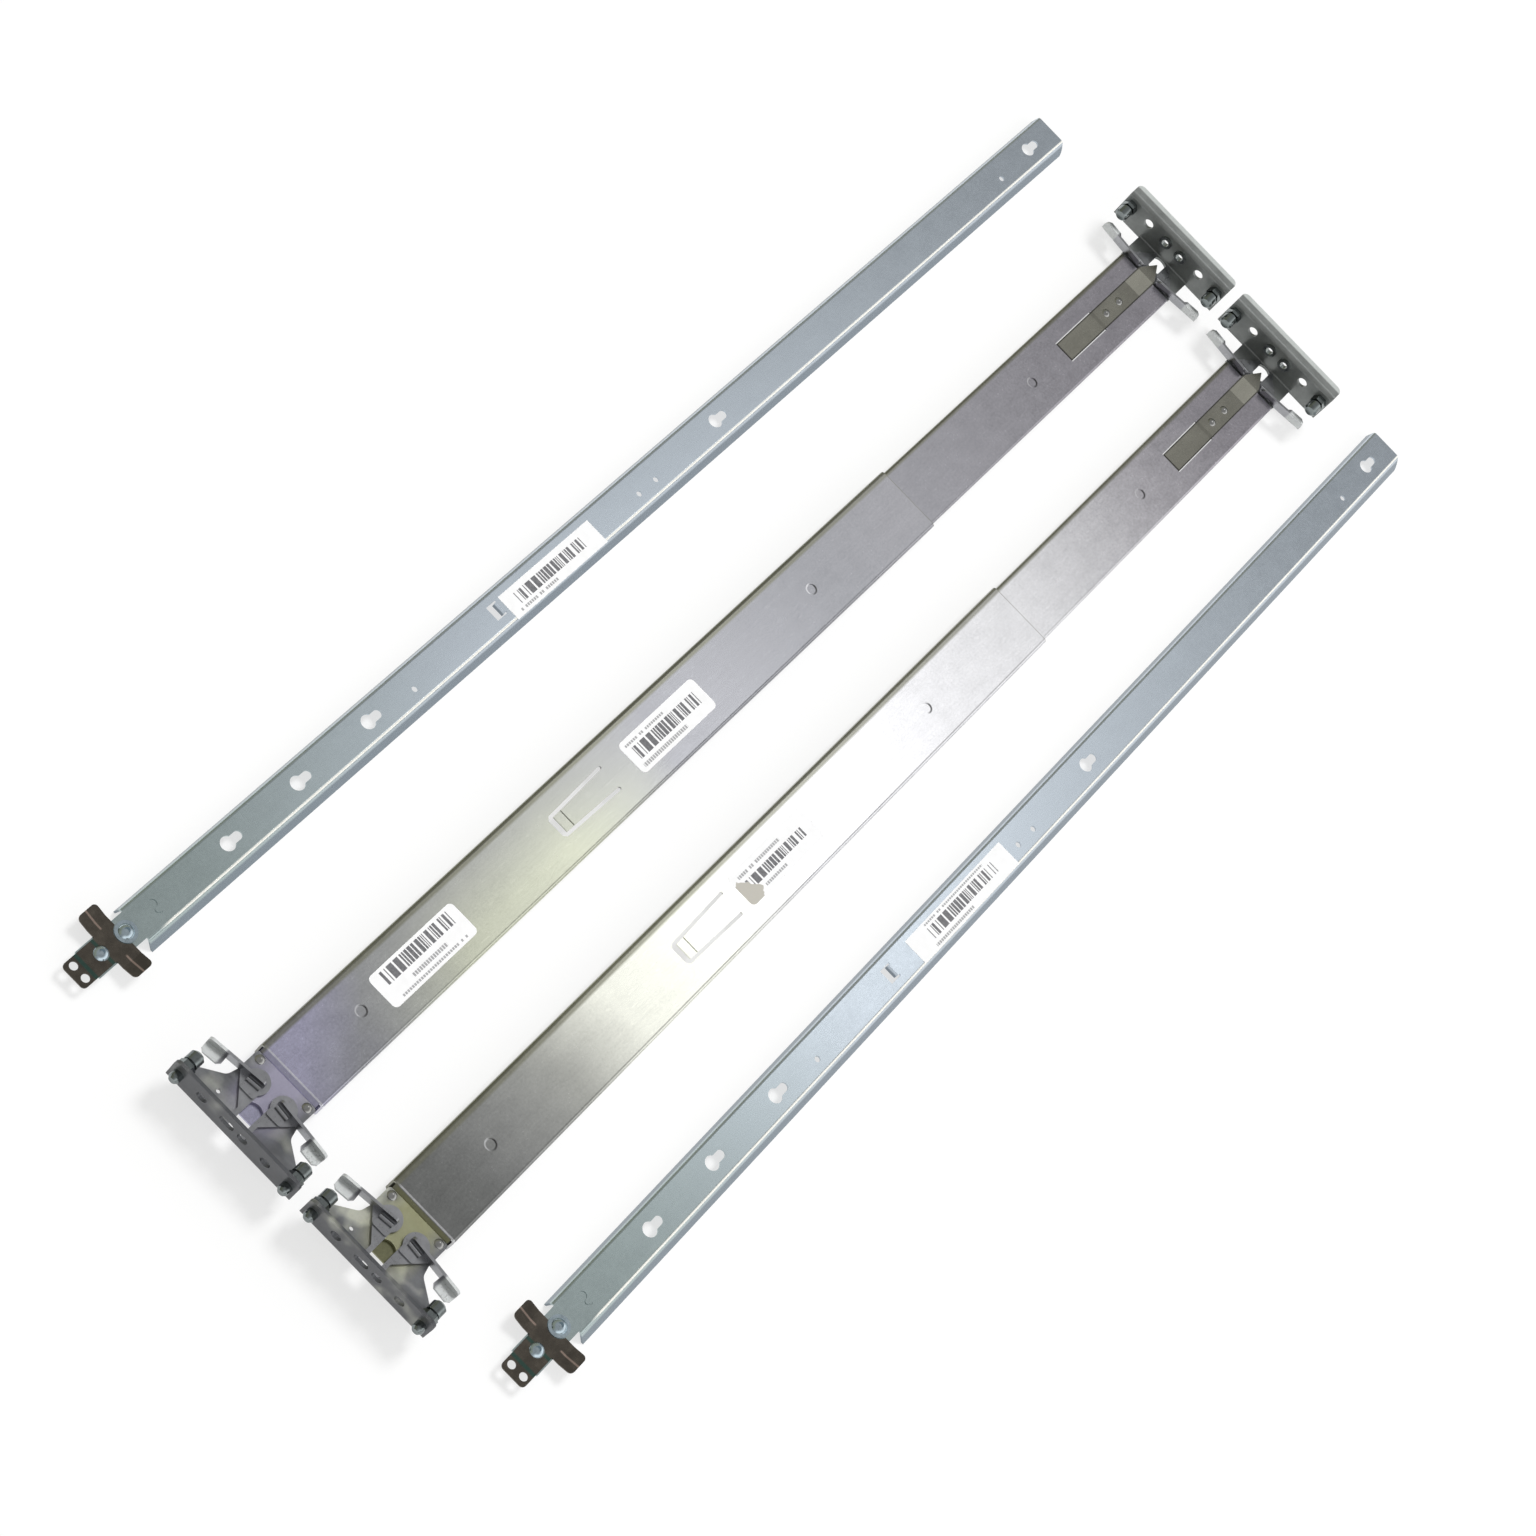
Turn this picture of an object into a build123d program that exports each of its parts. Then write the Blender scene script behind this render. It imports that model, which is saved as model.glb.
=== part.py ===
from build123d import *
import os

# A pair of sliding server rails, laid out flat: two adjustable outer rails in the middle
# and their two inner rails outside them. Millimetres, +Z up, X from front to rear.
# The origin is on the resting plane, under the middle of the whole set. Each outer rail is
# drawn about its own axis from its front flange, and each inner rail from its clip's tip.

# Places of the four assemblies
OUTER_OFFSET = 47.1
LEFT_INNER_Y = 156.0
RIGHT_INNER_Y = -136.0
LEFT_INNER_X = 2.0
RIGHT_INNER_X = 22.0

# Rack standard: hole pitches within one unit, and the holes the pins go into
UNIT_HOLE_PITCH = 15.875
UNIT_HOLE_STEP = 12.7
PIN_SPACING = 76.2

# Outer rail, front section
SHEET = 1.2
STEP_TREAD = 0.8
TONGUE_LAP = 4.0
CHANNEL_WIDTH = 44.2
CHANNEL_TOP = 13.0
CHANNEL_RADIUS = 2.2
CHANNEL_MOUTH = 25.2
FRONT_SECTION_START = 48.6
NEST_GAP = 0.2
NOSE_REACH = 14.2
NOSE_STRIP_HALF = 5.0

# Length over both flanges, and where the two sections stop short of it or lap each other
RAIL_LENGTH = 885.0
FRONT_END_SETBACK = 290.0
SECTION_LAP = 90.0
REAR_END_SETBACK = 25.0

# Mounting brackets
PLATE = 2.0
BEND_RADIUS = 3.0
BEND_INSIDE = 1.0
FLANGE_WIDTH = 87.0
FLANGE_CORNER = 4.0
FLANGE_RISE = 19.0
HOLE_RISE = 10.0
SCREW_HOLE = 6.6
SLOT_CENTRE = 4.6
SLOT_LENGTH = 9.6
SLOT_WIDTH = 5.6
PLATE_END = 45.0
PLATE_HALF = 21.0
EAR_CORNER = 2.0
FLANGE_FOOT_INSET = 2.0
SHOULDER_RUN = 3.0
WAIST_SPREAD = 1.5
WAIST_RUN = 6.0
SHOULDER_START = 15.5
SHOULDER_HALF = 38.5
SHOULDER_END = 23.5
SHOULDER_RADIUS = 5.0
NOTCH_HALF = 6.3
NOTCH_END = 24.0
LIP_WIDTH = 9.0
JOGGLE_RUN = 3.2
TONGUE_START = 34.0
TONGUE_HALF = 19.6
EAR_RIVET_X = 42.0
EAR_RIVET_Y = 16.8
SIGHT_HOLE_X = 13.9
SIGHT_HOLE_Y = 19.3
SIGHT_HOLE = 2.6
REAR_PLATE_STEP_GAP = 1.0
REAR_PLATE_CORNER = 1.5

# Mounting pins
PIN_RADIUS = 3.3
PIN_REACH = 5.2
PIN_TAPER = 1.4
PIN_TIP_RADIUS = 2.1
PIN_COLLAR_FLATS = 8.6
PIN_COLLAR = 5.0
PIN_BOSS_RADIUS = 4.3
PIN_BOSS = 6.6
PIN_BOSS_CHAMFER = 1.2
PIN_NECK_RADIUS = 2.8
PIN_NECK = 1.2
PIN_HOLE_GAP = 0.05

# Threaded inserts in the two middle holes of the rear flange
INSERT_HEAD_RADIUS = 4.3
INSERT_HEAD = 1.6
INSERT_BORE = 2.5

# Release levers, drawn for the +Y side of the front bracket; the rear ones lie nearer
# their flange by one shift
REAR_LEVER_SHIFT = 8.5
REAR_LEVER_GAP = 1.3
LEVER_PIVOT_X = 26.3
LEVER_PIVOT_Y = 9.0
LEVER_SHEET = 1.6
LEVER_LOBE = 7.2
LEVER_LOBE_X = 31.5
LEVER_LOBE_Y = 9.5
LEVER_WALL_X = 32.2
LEVER_WALL_IN = 5.2
LEVER_WALL_LENGTH = 36.4
LEVER_SLANT = 6.0
LEVER_HEIGHT = 6.0
LEVER_TAB_LENGTH = 12.6
LEVER_TAB_DEPTH = 7.0
LEVER_TAB_CORNER = 2.0
LEVER_FINGER_IN = 4.2
LEVER_FINGER_OUT = 7.0
LEVER_FINGER_TIP = 4.0
LEVER_TIP_CHAMFER = 0.8
LEVER_ELBOW = 14.5
LEVER_HEEL = 20.0
LEVER_CORNER = 2.4
LEVER_PAD_START = 22.5
LEVER_PAD_IN = 4.6
LEVER_PAD_OUT = 14.2
LEVER_PAD_RISE = 0.9
LEVER_PAD_CORNER = 1.2
LEVER_BEAD_RADIUS = 1.5
LEVER_BEAD_IN = 6.2
LEVER_BEAD_OUT = 14.7
LEVER_BEAD_SET = 2.2
LEVER_SEAT_GAP = 0.1
PIVOT_RADIUS = 2.4
PIVOT_HEAD = 3.6
PIVOT_HEAD_HEIGHT = 0.5
PIVOT_GAP = 0.05
PIVOT_COVER = 0.5

# Web details, distances from the front flange
FRONT_DIMPLE_X = 101.5
FRONT_DIMPLE_SETBACK = 98.5
REAR_DIMPLE_SETBACK = 36.5
DIMPLE_RADIUS = 3.2
DIMPLE_DEPTH = 0.35
FINGER_FRONT = 261.0
FINGER_ROOT = 308.0
FINGER_FRONT_HALF = 6.4
FINGER_ROOT_HALF = 7.8
FINGER_SLOT = 2.0
FINGER_GAP = 4.0
FINGER_CHAMFER = 2.0
FINGER_GROOVE_X = 270.0
FINGER_GROOVE = 1.2
FINGER_GROOVE_DEPTH = 0.5

# Leaf spring on the rear section
LEAF = 0.8
LEAF_TIP_SETBACK = 12.0
LEAF_LENGTH = 107.0
LEAF_POINT = 13.0
LEAF_PAD = 40.0
LEAF_PAD_RAMP = 2.1
LEAF_PAD_MARGIN = 0.4
LEAF_HALF = 7.0
LEAF_LIFT = 1.2
LEAF_LIFT_RUN = 15.0
LEAF_LIFT_SETBACK = 1.0
LEAF_WINDOW_GAP = 0.6
LEAF_LEVER_GAP = 1.2
LEAF_PAD_DROP = 0.9
LEAF_RIVET_SETBACK = 7.4
LEAF_RIVET_PITCH = 14.7
SMALL_RIVET_RADIUS = 1.7
SMALL_RIVET_HEAD = 2.8
EAR_RIVET_HEIGHT = 1.3
LEAF_RIVET_HEIGHT = 1.5
REAR_PLATE_SIDE_GAP = 0.7
REAR_PLATE_LAP = 6.5

# Inner rails, distances from the tip of the release clip
INNER_LENGTH = 893.0
INNER_START = 45.0
INNER_PLAY = 0.4
INNER_SHEET = 1.2
INNER_WEB_HALF = 10.25
INNER_FLARE = 5.5
INNER_NEAR_FLARE = 2.0
INNER_RADIUS = 1.6
INNER_CORNER = 5.0
NOSE_LAP = 2.0
NOSE_START = 11.0
NOSE_HALF = 9.0
FIRST_KEYHOLES = (114.5, 168.5, 225.0, 534.0)
LAST_KEYHOLE_SETBACK = 27.0
KEYHOLE_RADIUS = 4.4
KEYHOLE_NECK = 5.2
KEYHOLE_RUN = 7.4
FIRST_SMALL_HOLES = (260.0, 458.0, 473.5)
LAST_SMALL_HOLE_SETBACK = 61.0
SMALL_HOLE_SIDE = 3.0
SMALL_HOLE_RADIUS = 1.8
TAB_WINDOW_X = 333.0
TAB_WINDOW_LENGTH = 8.4
TAB_WINDOW_WIDTH = 9.6
TAB_INSET = 1.0
TAB_LAP = 0.1
TAB_DROP = 5.0
MARK_X = 60.0
MARK_BEND = 2.0
MARK_WIDTH = 1.1
MARK_DEPTH = 0.4

# Release clip at the front of each inner rail
CLIP = 0.8
CLIP_HALF = 8.2
CLIP_END = 36.5
CLIP_WING_START = 23.5
CLIP_WING_HALF = 21.0
CLIP_CREASE = 12.8
CLIP_WING_RISE = 1.8
CLIP_CORNER = 2.6
CLIP_HOLE_X = 5.0
CLIP_HOLE_Y = 4.2
CLIP_HOLE_RADIUS = 2.4
CLIP_RIVET_X = 20.5
STUD_X = 38.5
STUD_WASHER = 6.2
STUD_WASHER_HEIGHT = 0.9
STUD_RELIEF = 0.4
DOME_RADIUS = 4.3
DOME_HEIGHT = 2.4
DOME_SOCKET = 3.2
DOME_SHANK = 2.2
DOME_SHANK_TAIL = 0.8
DOME_SOCKET_FLOOR = 0.8
SHANK_GAP = 0.05

# How far a cutter runs past the sheet that it cuts
CUT = 1.0

# Places, heights and widths that follow from the sizes above
FRONT_SECTION_END = RAIL_LENGTH - FRONT_END_SETBACK
REAR_SECTION_START = FRONT_SECTION_END - SECTION_LAP
REAR_SECTION_END = RAIL_LENGTH - REAR_END_SETBACK
PIN_Z = CHANNEL_TOP + HOLE_RISE
FLANGE_TOP = CHANNEL_TOP + FLANGE_RISE
REAR_WEB_TOP = CHANNEL_TOP - SHEET - NEST_GAP
REAR_WIDTH = CHANNEL_WIDTH - 2 * (SHEET + NEST_GAP)
REAR_BOTTOM = SHEET + NEST_GAP
REAR_PLATE_TOP = REAR_WEB_TOP - SHEET
INNER_HEIGHT = REAR_PLATE_TOP - REAR_BOTTOM - SHEET - INNER_PLAY
FRONT_PLATE_TOP = CHANNEL_TOP
LEAF_TIP = RAIL_LENGTH - LEAF_TIP_SETBACK
LEAF_START = LEAF_TIP - LEAF_LENGTH
LEAF_PAD_END = LEAF_START + LEAF_PAD
LEAF_LIFT_END = REAR_SECTION_END - LEAF_LIFT_SETBACK
LEAF_RIVET_X = LEAF_PAD_END + LEAF_RIVET_SETBACK
FRONT_DIMPLES = (FRONT_DIMPLE_X, FRONT_SECTION_END - FRONT_DIMPLE_SETBACK)
REAR_DIMPLE_X = LEAF_START - REAR_DIMPLE_SETBACK
REAR_PLATE_HALF = REAR_WIDTH / 2 - SHEET - REAR_PLATE_SIDE_GAP
REAR_PLATE_START = LEAF_RIVET_X - REAR_PLATE_LAP
KEYHOLE_PLACES = (*FIRST_KEYHOLES, INNER_LENGTH - LAST_KEYHOLE_SETBACK)
SMALL_HOLE_PLACES = (*FIRST_SMALL_HOLES, INNER_LENGTH - LAST_SMALL_HOLE_SETBACK)

# Middle of the whole set in plan
SET_CENTRE_X = (RIGHT_INNER_X + INNER_LENGTH - PIN_REACH) / 2
SET_CENTRE_Y = (LEFT_INNER_Y + RIGHT_INNER_Y) / 2


def at(x, y=0.0, z=0.0):
    return Location((x, y, z))


def box_between(x0, x1, y0, y1, z0, z1):
    block = Box(x1 - x0, y1 - y0, z1 - z0)
    return at((x0 + x1) / 2, (y0 + y1) / 2, (z0 + z1) / 2) * block


def post(x, y, z0, z1, radius):
    return at(x, y, (z0 + z1) / 2) * Cylinder(radius, z1 - z0)


def bar_along_x(x0, x1, y, z, radius):
    return at((x0 + x1) / 2, y, z) * Rot(0, 90, 0) * Cylinder(radius, x1 - x0)


def slab(outline, z0, z1):
    return extrude(at(0, 0, z0) * outline, amount=z1 - z0)


def channel(x0, x1, width, bottom, top, radius):
    """An open C channel, web up, with lips that narrow its mouth."""
    height = top - bottom
    ring = RectangleRounded(width, height, radius)
    ring -= RectangleRounded(width - 2 * SHEET, height - 2 * SHEET, radius - SHEET)
    ring -= Pos(0, -height / 2) * Rectangle(CHANNEL_MOUTH, 3 * SHEET)
    section = Plane.YZ * Pos(0, (bottom + top) / 2) * ring
    return at(x0) * extrude(section, amount=x1 - x0)


def dimple(x, top):
    """A shallow round mark pressed into a web whose upper face is at top."""
    return post(x, 0, top - DIMPLE_DEPTH, top + SHEET, DIMPLE_RADIUS)


def bent_profile(corners, bends):
    """A face in the XZ plane whose named corners are rounded as bends."""
    flat = make_face(Polyline(*corners, close=True))
    for (x, z), radius in bends.items():
        corner = flat.vertices().sort_by_distance((x, z, 0))[0]
        flat = fillet(corner, radius)
    return Plane.XZ * flat


def front_tongue():
    """The joggled end of the web under the bracket plate, with a strip that fills the notch."""
    under = CHANNEL_TOP - PLATE
    ramp_end = FRONT_SECTION_START + STEP_TREAD
    ramp_start = ramp_end - JOGGLE_RUN
    overlap = ramp_end + TONGUE_LAP
    side = Polyline(
        (TONGUE_START, under - SHEET),
        (ramp_start, under - SHEET),
        (ramp_end, CHANNEL_TOP - SHEET),
        (overlap, CHANNEL_TOP - SHEET),
        (overlap, CHANNEL_TOP),
        (ramp_end - STEP_TREAD, CHANNEL_TOP),
        (ramp_start - STEP_TREAD, under),
        (TONGUE_START, under),
        close=True,
    )
    face = make_face(Plane.XZ * side)
    tongue = extrude(face, amount=TONGUE_HALF, both=True)
    return tongue + box_between(
        NOSE_REACH, TONGUE_START + SHEET, -NOSE_STRIP_HALF, NOSE_STRIP_HALF, under - SHEET, under
    )


def spring_finger_cut():
    """The U-shaped slot that frees a finger in the web, wide at its root."""
    half_slot = FINGER_SLOT / 2
    gap = make_face(
        Polyline(
            (FINGER_ROOT, FINGER_ROOT_HALF + half_slot),
            (FINGER_FRONT + FINGER_CHAMFER, FINGER_FRONT_HALF + half_slot),
            (FINGER_FRONT, FINGER_FRONT_HALF - half_slot),
            (FINGER_FRONT, half_slot - FINGER_FRONT_HALF),
            (FINGER_FRONT + FINGER_CHAMFER, -FINGER_FRONT_HALF - half_slot),
            (FINGER_ROOT, -FINGER_ROOT_HALF - half_slot),
            close=True,
        )
    )
    finger = make_face(
        Polyline(
            (FINGER_ROOT, FINGER_ROOT_HALF - half_slot),
            (FINGER_FRONT + FINGER_GAP, FINGER_FRONT_HALF - half_slot),
            (FINGER_FRONT + FINGER_GAP, half_slot - FINGER_FRONT_HALF),
            (FINGER_ROOT, half_slot - FINGER_ROOT_HALF),
            close=True,
        )
    )
    low, high = CHANNEL_TOP - 2 * SHEET, CHANNEL_TOP + SHEET
    cutter = slab(gap - finger, low, high)
    for side in (-1, 1):
        cutter += post(FINGER_ROOT, side * FINGER_ROOT_HALF, low, high, half_slot)
    return cutter


def front_section():
    """The fixed outer channel with its tongue, spring finger and pressed marks."""
    body = channel(FRONT_SECTION_START, FRONT_SECTION_END, CHANNEL_WIDTH, 0, CHANNEL_TOP, CHANNEL_RADIUS)
    body += front_tongue()
    body -= spring_finger_cut()
    groove_half = FINGER_FRONT_HALF - FINGER_SLOT / 2
    body -= box_between(
        FINGER_GROOVE_X,
        FINGER_GROOVE_X + FINGER_GROOVE,
        -groove_half,
        groove_half,
        CHANNEL_TOP - FINGER_GROOVE_DEPTH,
        CHANNEL_TOP + SHEET,
    )
    for x in FRONT_DIMPLES:
        body -= dimple(x, CHANNEL_TOP)
    for side in (-1, 1):
        body -= post(EAR_RIVET_X, side * EAR_RIVET_Y, 0, CHANNEL_TOP, SMALL_RIVET_RADIUS + SHANK_GAP)
    return body


def rear_section():
    """The narrower channel that telescopes inside the front section."""
    radius = CHANNEL_RADIUS - SHEET / 3
    body = channel(REAR_SECTION_START, REAR_SECTION_END, REAR_WIDTH, REAR_BOTTOM, REAR_WEB_TOP, radius)
    window_half = LEAF_HALF + LEAF_WINDOW_GAP
    body -= box_between(
        LEAF_START - LEAF_WINDOW_GAP,
        LEAF_PAD_END,
        -window_half,
        window_half,
        REAR_WEB_TOP - 2 * SHEET,
        REAR_WEB_TOP + SHEET,
    )
    body -= dimple(REAR_DIMPLE_X, REAR_WEB_TOP)
    return body - leaf_rivet_holes()


def screw_hole_places(front):
    """Free rack holes between the pins; at the front a slot takes the place of one."""
    near = UNIT_HOLE_STEP / 2
    far = near + UNIT_HOLE_PITCH
    return (-far, -near, far) if front else (-far, -near, near, far)


def flange_cuts(x0, x1, front):
    """Screw holes and pin holes through a flange lying from x0 to x1."""
    pin_hole = PIN_NECK_RADIUS + PIN_HOLE_GAP
    holes = [
        bar_along_x(x0 - 1, x1 + 1, side * PIN_SPACING / 2, PIN_Z, pin_hole) for side in (-1, 1)
    ]
    holes += [bar_along_x(x0 - 1, x1 + 1, y, PIN_Z, SCREW_HOLE / 2) for y in screw_hole_places(front)]
    return Part() + holes


def bracket_slot(x0, x1):
    """The long slot beside the middle of the front flange."""
    shape = Plane.YZ * Pos(SLOT_CENTRE, PIN_Z) * SlotOverall(SLOT_LENGTH, SLOT_WIDTH)
    return at(x0 - 1) * extrude(shape, amount=x1 - x0 + 2)


def plate_outline():
    """Plan of the front bracket plate: wide at the flange, waisted to the rail."""
    half = [
        (0, FLANGE_WIDTH / 2 - FLANGE_FOOT_INSET),
        (SHOULDER_START - SHOULDER_RUN, SHOULDER_HALF),
        (SHOULDER_END, PLATE_HALF + WAIST_SPREAD),
        (SHOULDER_END + WAIST_RUN, PLATE_HALF),
        (PLATE_END, PLATE_HALF),
    ]
    mirrored = [(x, -y) for x, y in reversed(half)]
    return make_face(Polyline(*half, *mirrored, close=True))


def latch_cuts(bottom, shift):
    """Cuts in a plate whose underside is at bottom: a notch by the bend and pivot holes.

    The notch and the pivot holes lie nearer the flange by shift."""
    below, above = bottom - CUT, bottom + PLATE + CUT
    notch_middle = NOTCH_END - shift - NOTCH_HALF
    notch_start = PLATE + BEND_RADIUS
    cutter = box_between(notch_start, notch_middle, -NOTCH_HALF, NOTCH_HALF, below, above)
    cutter += post(notch_middle, 0, below, above, NOTCH_HALF)
    for side in (-1, 1):
        place = (LEVER_PIVOT_X - shift, side * LEVER_PIVOT_Y)
        cutter += post(*place, below, above, PIVOT_RADIUS + PIVOT_GAP)
    return cutter


def front_bracket():
    """Flange with pins' holes, bent up from a waisted plate riveted to the rail."""
    bottom = FRONT_PLATE_TOP - PLATE
    corners = [
        (0, bottom),
        (PLATE_END, bottom),
        (PLATE_END, FRONT_PLATE_TOP),
        (PLATE, FRONT_PLATE_TOP),
        (PLATE, FLANGE_TOP),
        (0, FLANGE_TOP),
    ]
    bends = {corners[0]: BEND_RADIUS, corners[3]: BEND_INSIDE}
    body = extrude(bent_profile(corners, bends), amount=FLANGE_WIDTH / 2, both=True)
    body &= slab(plate_outline(), bottom, FRONT_PLATE_TOP + PLATE) + box_between(
        0, PLATE, -FLANGE_WIDTH / 2, FLANGE_WIDTH / 2, bottom, FLANGE_TOP
    )
    corners = body.edges().filter_by(Axis.X).group_by(Axis.Z)[-1]
    body = fillet(corners, FLANGE_CORNER)
    shoulders = [
        e
        for e in body.edges().filter_by(Axis.Z)
        if PLATE + BEND_RADIUS < e.center().X < SHOULDER_END + WAIST_RUN + 1
    ]
    body = fillet(shoulders, SHOULDER_RADIUS)
    ears = [e for e in body.edges().filter_by(Axis.Z) if e.center().X > PLATE_END - 1]
    body = fillet(ears, EAR_CORNER)
    body -= flange_cuts(0, PLATE, front=True)
    body -= bracket_slot(0, PLATE)
    body -= latch_cuts(bottom, 0)
    below, above = bottom - CUT, FRONT_PLATE_TOP + CUT
    body -= post(SIGHT_HOLE_X, SIGHT_HOLE_Y, below, above, SIGHT_HOLE / 2)
    for side in (-1, 1):
        body -= post(EAR_RIVET_X, side * EAR_RIVET_Y, below, above, SMALL_RIVET_RADIUS + SHANK_GAP)
    return body


def rear_bracket():
    """Flange bent up from a plate under the rear section's web, with a stiffening lip."""
    bottom = REAR_PLATE_TOP - PLATE
    end = RAIL_LENGTH
    start = REAR_PLATE_START
    corners = [
        (start, bottom),
        (end, bottom),
        (end, FLANGE_TOP - PLATE),
        (end + LIP_WIDTH, FLANGE_TOP - PLATE),
        (end + LIP_WIDTH, FLANGE_TOP),
        (end - PLATE, FLANGE_TOP),
        (end - PLATE, REAR_PLATE_TOP),
        (start, REAR_PLATE_TOP),
    ]
    bends = {corners[1]: BEND_RADIUS, corners[5]: BEND_RADIUS}
    bends |= {corners[2]: BEND_INSIDE, corners[6]: BEND_INSIDE}
    body = extrude(bent_profile(corners, bends), amount=FLANGE_WIDTH / 2, both=True)
    top = REAR_PLATE_TOP + BEND_INSIDE
    plate = box_between(start, end - PLATE, -REAR_PLATE_HALF, REAR_PLATE_HALF, bottom, top)
    step = REAR_SECTION_END + REAR_PLATE_STEP_GAP
    wide = box_between(step, end - PLATE, -PLATE_HALF, PLATE_HALF, bottom, top)
    plate += fillet(wide.edges().filter_by(Axis.Z).group_by(Axis.X)[0], REAR_PLATE_CORNER)
    half_flange = FLANGE_WIDTH / 2
    body &= plate + box_between(end - PLATE, end + LIP_WIDTH, -half_flange, half_flange, bottom, FLANGE_TOP)
    lip_corners = body.edges().filter_by(Axis.Z).group_by(Axis.X)[-1]
    body = fillet(lip_corners, FLANGE_CORNER)
    body -= flange_cuts(end - PLATE, end, front=False)
    body -= at(end) * mirror(latch_cuts(bottom, REAR_LEVER_SHIFT), Plane.YZ)
    return body - leaf_rivet_holes()


def mounting_pin():
    """A pin along X: tip outside the flange at X < 0, hexagon collar and round boss inside."""
    boss = PLATE + PIN_COLLAR + PIN_NECK
    profile = Polyline(
        (-PIN_REACH, 0),
        (-PIN_REACH, PIN_TIP_RADIUS),
        (PIN_TAPER - PIN_REACH, PIN_RADIUS),
        (0, PIN_RADIUS),
        (0, PIN_NECK_RADIUS),
        (boss, PIN_NECK_RADIUS),
        (boss, PIN_BOSS_RADIUS),
        (boss + PIN_BOSS - PIN_BOSS_CHAMFER, PIN_BOSS_RADIUS),
        (boss + PIN_BOSS, PIN_BOSS_RADIUS - PIN_BOSS_CHAMFER),
        (boss + PIN_BOSS, 0),
        close=True,
    )
    body = revolve(make_face(Plane.XZ * profile), Axis.X)
    hexagon = Plane.YZ * RegularPolygon(PIN_COLLAR_FLATS / 2, 6, major_radius=False)
    body += at(PLATE) * extrude(hexagon, amount=PIN_COLLAR)
    return body


def pins(front):
    made = []
    for side in (-1, 1):
        pin = at(0, side * PIN_SPACING / 2, PIN_Z) * mounting_pin()
        if not front:
            pin = at(RAIL_LENGTH) * mirror(pin, Plane.YZ)
        made.append(pin)
    return made


def inserts():
    """Threaded inserts set in the two middle holes of the rear flange."""
    inner = RAIL_LENGTH - PLATE
    barrel = SCREW_HOLE / 2 - PIN_HOLE_GAP
    made = []
    for side in (-1, 1):
        y = side * UNIT_HOLE_STEP / 2
        body = bar_along_x(inner, RAIL_LENGTH, y, PIN_Z, barrel)
        body += bar_along_x(inner - INSERT_HEAD, inner, y, PIN_Z, INSERT_HEAD_RADIUS)
        made.append(body - bar_along_x(inner - 2 * INSERT_HEAD, RAIL_LENGTH + CUT, y, PIN_Z, INSERT_BORE))
    return made


def lever_base(tip):
    """Plan of a lever's flat base: a lobe by the wall and a latch finger that ends at tip."""
    finger = Polyline(
        (tip, LEVER_FINGER_IN + LEVER_TIP_CHAMFER),
        (tip + LEVER_TIP_CHAMFER, LEVER_FINGER_IN),
        (LEVER_LOBE_X, LEVER_FINGER_IN),
        (LEVER_LOBE_X, LEVER_LOBE_Y),
        (LEVER_LOBE_X - LEVER_SHEET, LEVER_HEEL),
        (LEVER_ELBOW, LEVER_FINGER_OUT),
        (tip + LEVER_TIP_CHAMFER, LEVER_FINGER_OUT),
        (tip, LEVER_FINGER_OUT - LEVER_TIP_CHAMFER),
        close=True,
    )
    return make_face(finger) + Pos(LEVER_LOBE_X, LEVER_LOBE_Y) * Circle(LEVER_LOBE)


def lever_wall(start):
    """The upright wall with its thumb tab, along +Y from the wall's inner end."""
    half = LEVER_SHEET / 2
    wall = box_between(-half, half, start, LEVER_WALL_LENGTH, 0, LEVER_HEIGHT)
    wall = fillet(wall.edges().filter_by(Axis.X).group_by(Axis.Z)[-1], LEVER_CORNER)
    tab_start = LEVER_WALL_LENGTH - LEVER_TAB_LENGTH
    tab = Polyline(
        (0, tab_start),
        (LEVER_TAB_CORNER - LEVER_TAB_DEPTH, tab_start),
        (-LEVER_TAB_DEPTH, tab_start + LEVER_TAB_CORNER),
        (-LEVER_TAB_DEPTH, LEVER_WALL_LENGTH - LEVER_TAB_CORNER),
        (LEVER_TAB_CORNER - LEVER_TAB_DEPTH, LEVER_WALL_LENGTH),
        (0, LEVER_WALL_LENGTH),
        close=True,
    )
    return wall + slab(make_face(tab), 0, LEVER_SHEET)


def leaf_shadow():
    """Where a rear lever's raised parts would meet the leaf, in the front lever's frame."""
    tip = LEAF_TIP_SETBACK + REAR_LEVER_SHIFT
    far = tip + LEAF_POINT + LEVER_WALL_X
    edge = LEAF_HALF + LEAF_LEVER_GAP
    start = tip - LEAF_LEVER_GAP * LEAF_POINT / LEAF_HALF
    shape = Polyline((start, 0), (tip + LEAF_POINT, edge), (far, edge), (far, 0), close=True)
    return slab(make_face(shape), LEVER_SHEET, 2 * LEVER_HEIGHT)


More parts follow.
